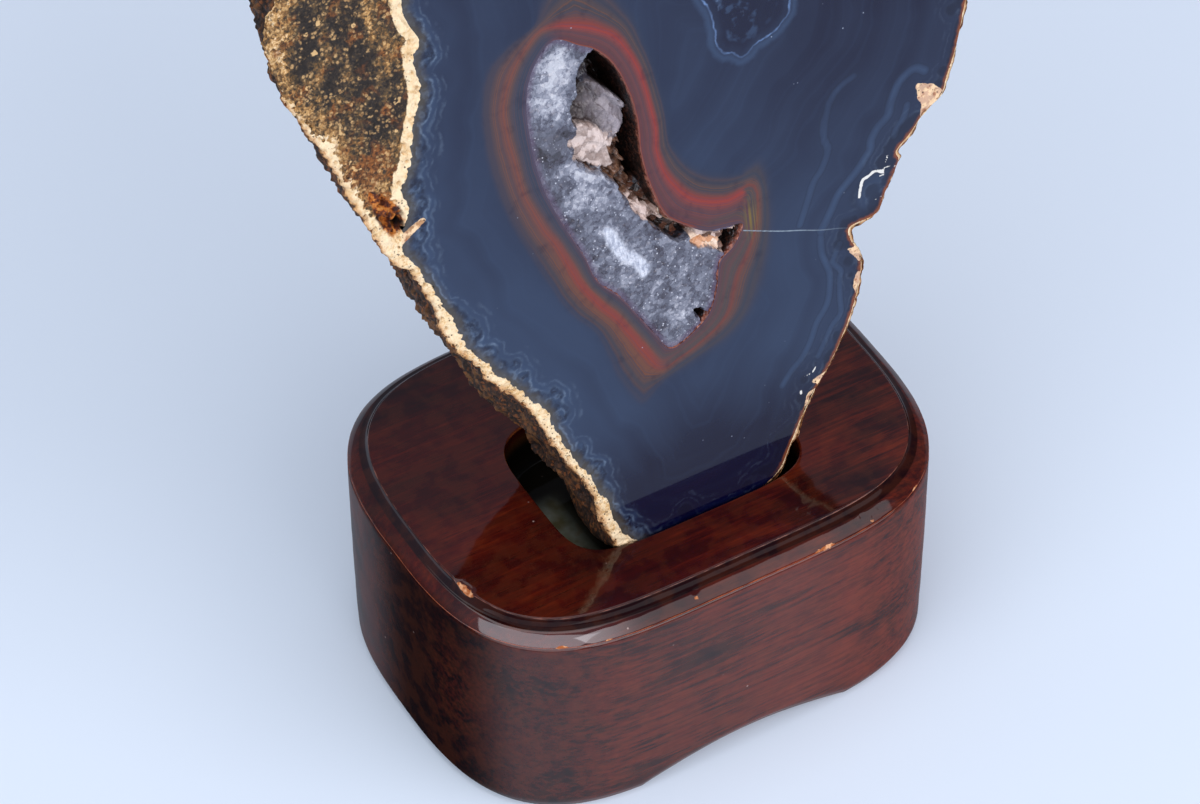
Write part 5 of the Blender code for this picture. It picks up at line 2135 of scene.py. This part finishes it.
    def traits(self, places: np.ndarray, chip: np.ndarray, arris: list[float],
               deep: list[float]) -> dict[str, np.ndarray]:
        """Numbers that place the lacquer's wear, its gloss, the wood's tones and its painted shade.

        Formula: each is a product of smooth steps across the block and of round bells, by
        where the photograph shows the tone.

        Args:
            places: places on the block, in millimetres.
            chip: share of the chip at each place.
            arris: how much each outer ring counts as an arris.
            deep: how deep each inner ring lies in the recess.

        Returns:
            The traits by name.
        """
        x, y, columns = places[..., 0], places[..., 1], np.ones(places.shape[1])
        bare = chip * 1.6
        for centre, size in self.bare_spots:
            bare = np.maximum(bare, 1.0 - np.linalg.norm((places - centre) / size, axis=-1))
        worn = np.outer(arris + [0.0] * len(deep), columns)
        wall = smooth_step(places[..., 2], 39.0, 37.4)
        blotch = np.linalg.norm((places - [-42.5, -16.0, 21.0]) / [9.0, 6.5, 13.0], axis=-1)
        # The wall's left end: its coat is dulled, and its colour is painted near-black as shade.
        dull_and_shaded = wall * np.exp(-(np.hypot(x + 42.5, y + 9.0) / 15.0) ** 4)
        corner = np.exp(-(np.hypot(x + 34.0, y + 27.0) / 13.0) ** 4)
        front = smooth_step(y, -12.0, -20.0) * smooth_step(x, -42.0, -36.0)
        outs = np.zeros(len(places))
        outs[len(arris) - len(self.moulding):len(arris)] = [out for out, _ in self.moulding]
        bead = np.outer(smooth_step(outs, 1.35, 1.75), columns)
        cove = np.outer((outs > 0.05) & (outs < 1.55), columns)
        gloss = 0.5 * (1.0 - 0.55 * wall * smooth_step(x, 5.0, 35.0)) * (1.0 - 0.92 * dull_and_shaded)
        gloss *= 1.0 - 0.45 * wall * smooth_step(x, -37.0, -42.0)
        gloss *= (1.0 - 0.85 * cove * front) * (1.0 - 0.5 * bead * front)
        return {
            "arris": np.clip(worn, 0.0, 1.0),
            "edge_line": np.clip(-worn, 0.0, 1.0),
            "recess": np.outer([0.0] * len(arris) + deep, columns),
            "wall": wall,
            "bare": np.clip(bare, 0.0, 1.0),
            "dull_and_shaded": dull_and_shaded,
            "cove": cove,
            "shady": wall * smooth_step(x, -18.0, -34.0),
            "gloss": np.clip(gloss + 0.75 * bead * corner, 0.0, 1.0),
            # Recess floor beside and behind the slab's foot, painted dark as its shadow.
            "painted_recess_shadow": np.maximum(smooth_step(x, -17.5, -13.5), smooth_step(y, -3.0, 3.0)),
            "warmth": 0.9 * np.exp(-blotch ** 2) + 0.25 * smooth_step(x, -20.0, 32.0),
        }

    def build(self) -> list[bpy.types.Object]:
        """Make the block as one closed surface and dress it.

        Returns:
            The one piece.
        """
        plan = self.oblong(self.left, self.right, self.half_depth, self.plan_powers)
        outer, arris = self.outer_rows(plan)
        inner, deep = self.recess_rows(plan)
        places, chip = self.aged(np.array(outer + inner))
        traits = self.traits(places, chip, arris, deep)
        lower_pole = np.broadcast_to(places[0].mean(axis=0), (1,) + places.shape[1:])
        places = np.concatenate([lower_pole, places])
        traits = {name: np.vstack([value[:1], value]) for name, value in traits.items()}
        sheet = Sheet("stand_block", places * MM, traits, pole=True)
        piece = sheet.build(LacquerFinish().material("lacquered_wood"), "wood_stand")
        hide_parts("wood_stand")
        return [piece]


@dataclass(frozen=True)
class Softbox:
    """A large soft light: where it stands, its size, its power and its tint."""

    name: str
    place: tuple[float, float, float]
    size: Pair
    power: float
    tint: Colour = (1.0, 1.0, 1.0)

    def build(self, target: Vector) -> bpy.types.Object:
        """Make the light and turn it to the target.

        Args:
            target: where it points.

        Returns:
            The light's object.
        """
        lamp = bpy.data.lights.new(self.name, "AREA")
        lamp.shape = "RECTANGLE"
        lamp.size, lamp.size_y = self.size
        lamp.energy = self.power
        lamp.color = self.tint
        holder = bpy.data.objects.new(self.name, lamp)
        holder.location = self.place
        holder.rotation_euler = (target - Vector(self.place)).to_track_quat("-Z", "Y").to_euler()
        bpy.context.scene.collection.objects.link(holder)
        return holder


@dataclass
class Studio:
    """The pale floor, the soft lights and the camera."""

    lens: float = 135.0
    sensor: float = 36.0
    eye: tuple[float, float, float] = (-0.24427, -0.41167, 0.54331)
    ahead: tuple[float, float, float] = (0.34676, 0.60192, -0.71934)
    rightward: tuple[float, float, float] = (0.86287, -0.50538, -0.00693)
    floor_half: float = 3.0
    sky: Colour = (0.50, 0.53, 0.68)
    sky_strength: float = 0.50
    softboxes: tuple[Softbox, ...] = (
        Softbox("key", (0.39, -0.975, 0.79), (1.3, 0.9), 10.4, (0.98, 0.95, 1.0)),
        Softbox("side", (-0.79, -0.66, 0.80), (1.8, 1.2), 14.0, (0.90, 0.92, 1.0)),
        Softbox("top", (-0.15, 0.1, 1.4), (1.2, 1.2), 4.6),
    )

    def build(self) -> None:
        """Make the floor, the lights, the sky and the camera."""
        half = self.floor_half
        corners = np.array([[(-half, -half, 0.0), (half, -half, 0.0)],
                            [(-half, half, 0.0), (half, half, 0.0)]])
        mesh = bpy.data.meshes.new("floor")
        mesh.from_pydata(corners.reshape(-1, 3).tolist(), [], [(0, 1, 3, 2)])
        mesh.materials.append(FloorFinish().material("floor"))
        floor = bpy.data.objects.new("floor", mesh)
        bpy.context.scene.collection.objects.link(floor)
        for softbox in self.softboxes:
            softbox.build(Vector((0.0, 0.0, 0.06)))
        world = bpy.data.worlds.new("studio")
        world.use_nodes = True
        backdrop = world.node_tree.nodes["Background"]
        backdrop.inputs["Color"].default_value = (*self.sky, 1.0)
        backdrop.inputs["Strength"].default_value = self.sky_strength
        bpy.context.scene.world = world
        bpy.context.scene.view_settings.view_transform = "Standard"
        self.camera()

    def camera(self) -> None:
        """Make the camera at the photograph's viewing angle."""
        lens = bpy.data.cameras.new("camera")
        lens.sensor_width, lens.lens = self.sensor, self.lens
        lens.sensor_fit = "HORIZONTAL"
        lens.clip_start = 0.01
        camera = bpy.data.objects.new("camera", lens)
        ahead = Vector(self.ahead).normalized()
        right = Vector(self.rightward).normalized()
        up = right.cross(ahead)
        turn = Matrix((right, up, -ahead)).transposed()
        camera.matrix_world = Matrix.Translation(self.eye) @ turn.to_4x4()
        bpy.context.scene.collection.objects.link(camera)
        bpy.context.scene.camera = camera


def main() -> None:
    """Build the stand, the slice, its crystals and the studio, and report each piece."""
    logging.basicConfig(level=logging.INFO, format="%(name)s %(message)s")
    for maker in (WoodStand(), AgateSlice(), QuartzCrust()):
        for piece in maker.build():
            LOG.info("%s rides on %s", piece.name, BODY)
    Studio().build()


if __name__ == "__main__":
    main()
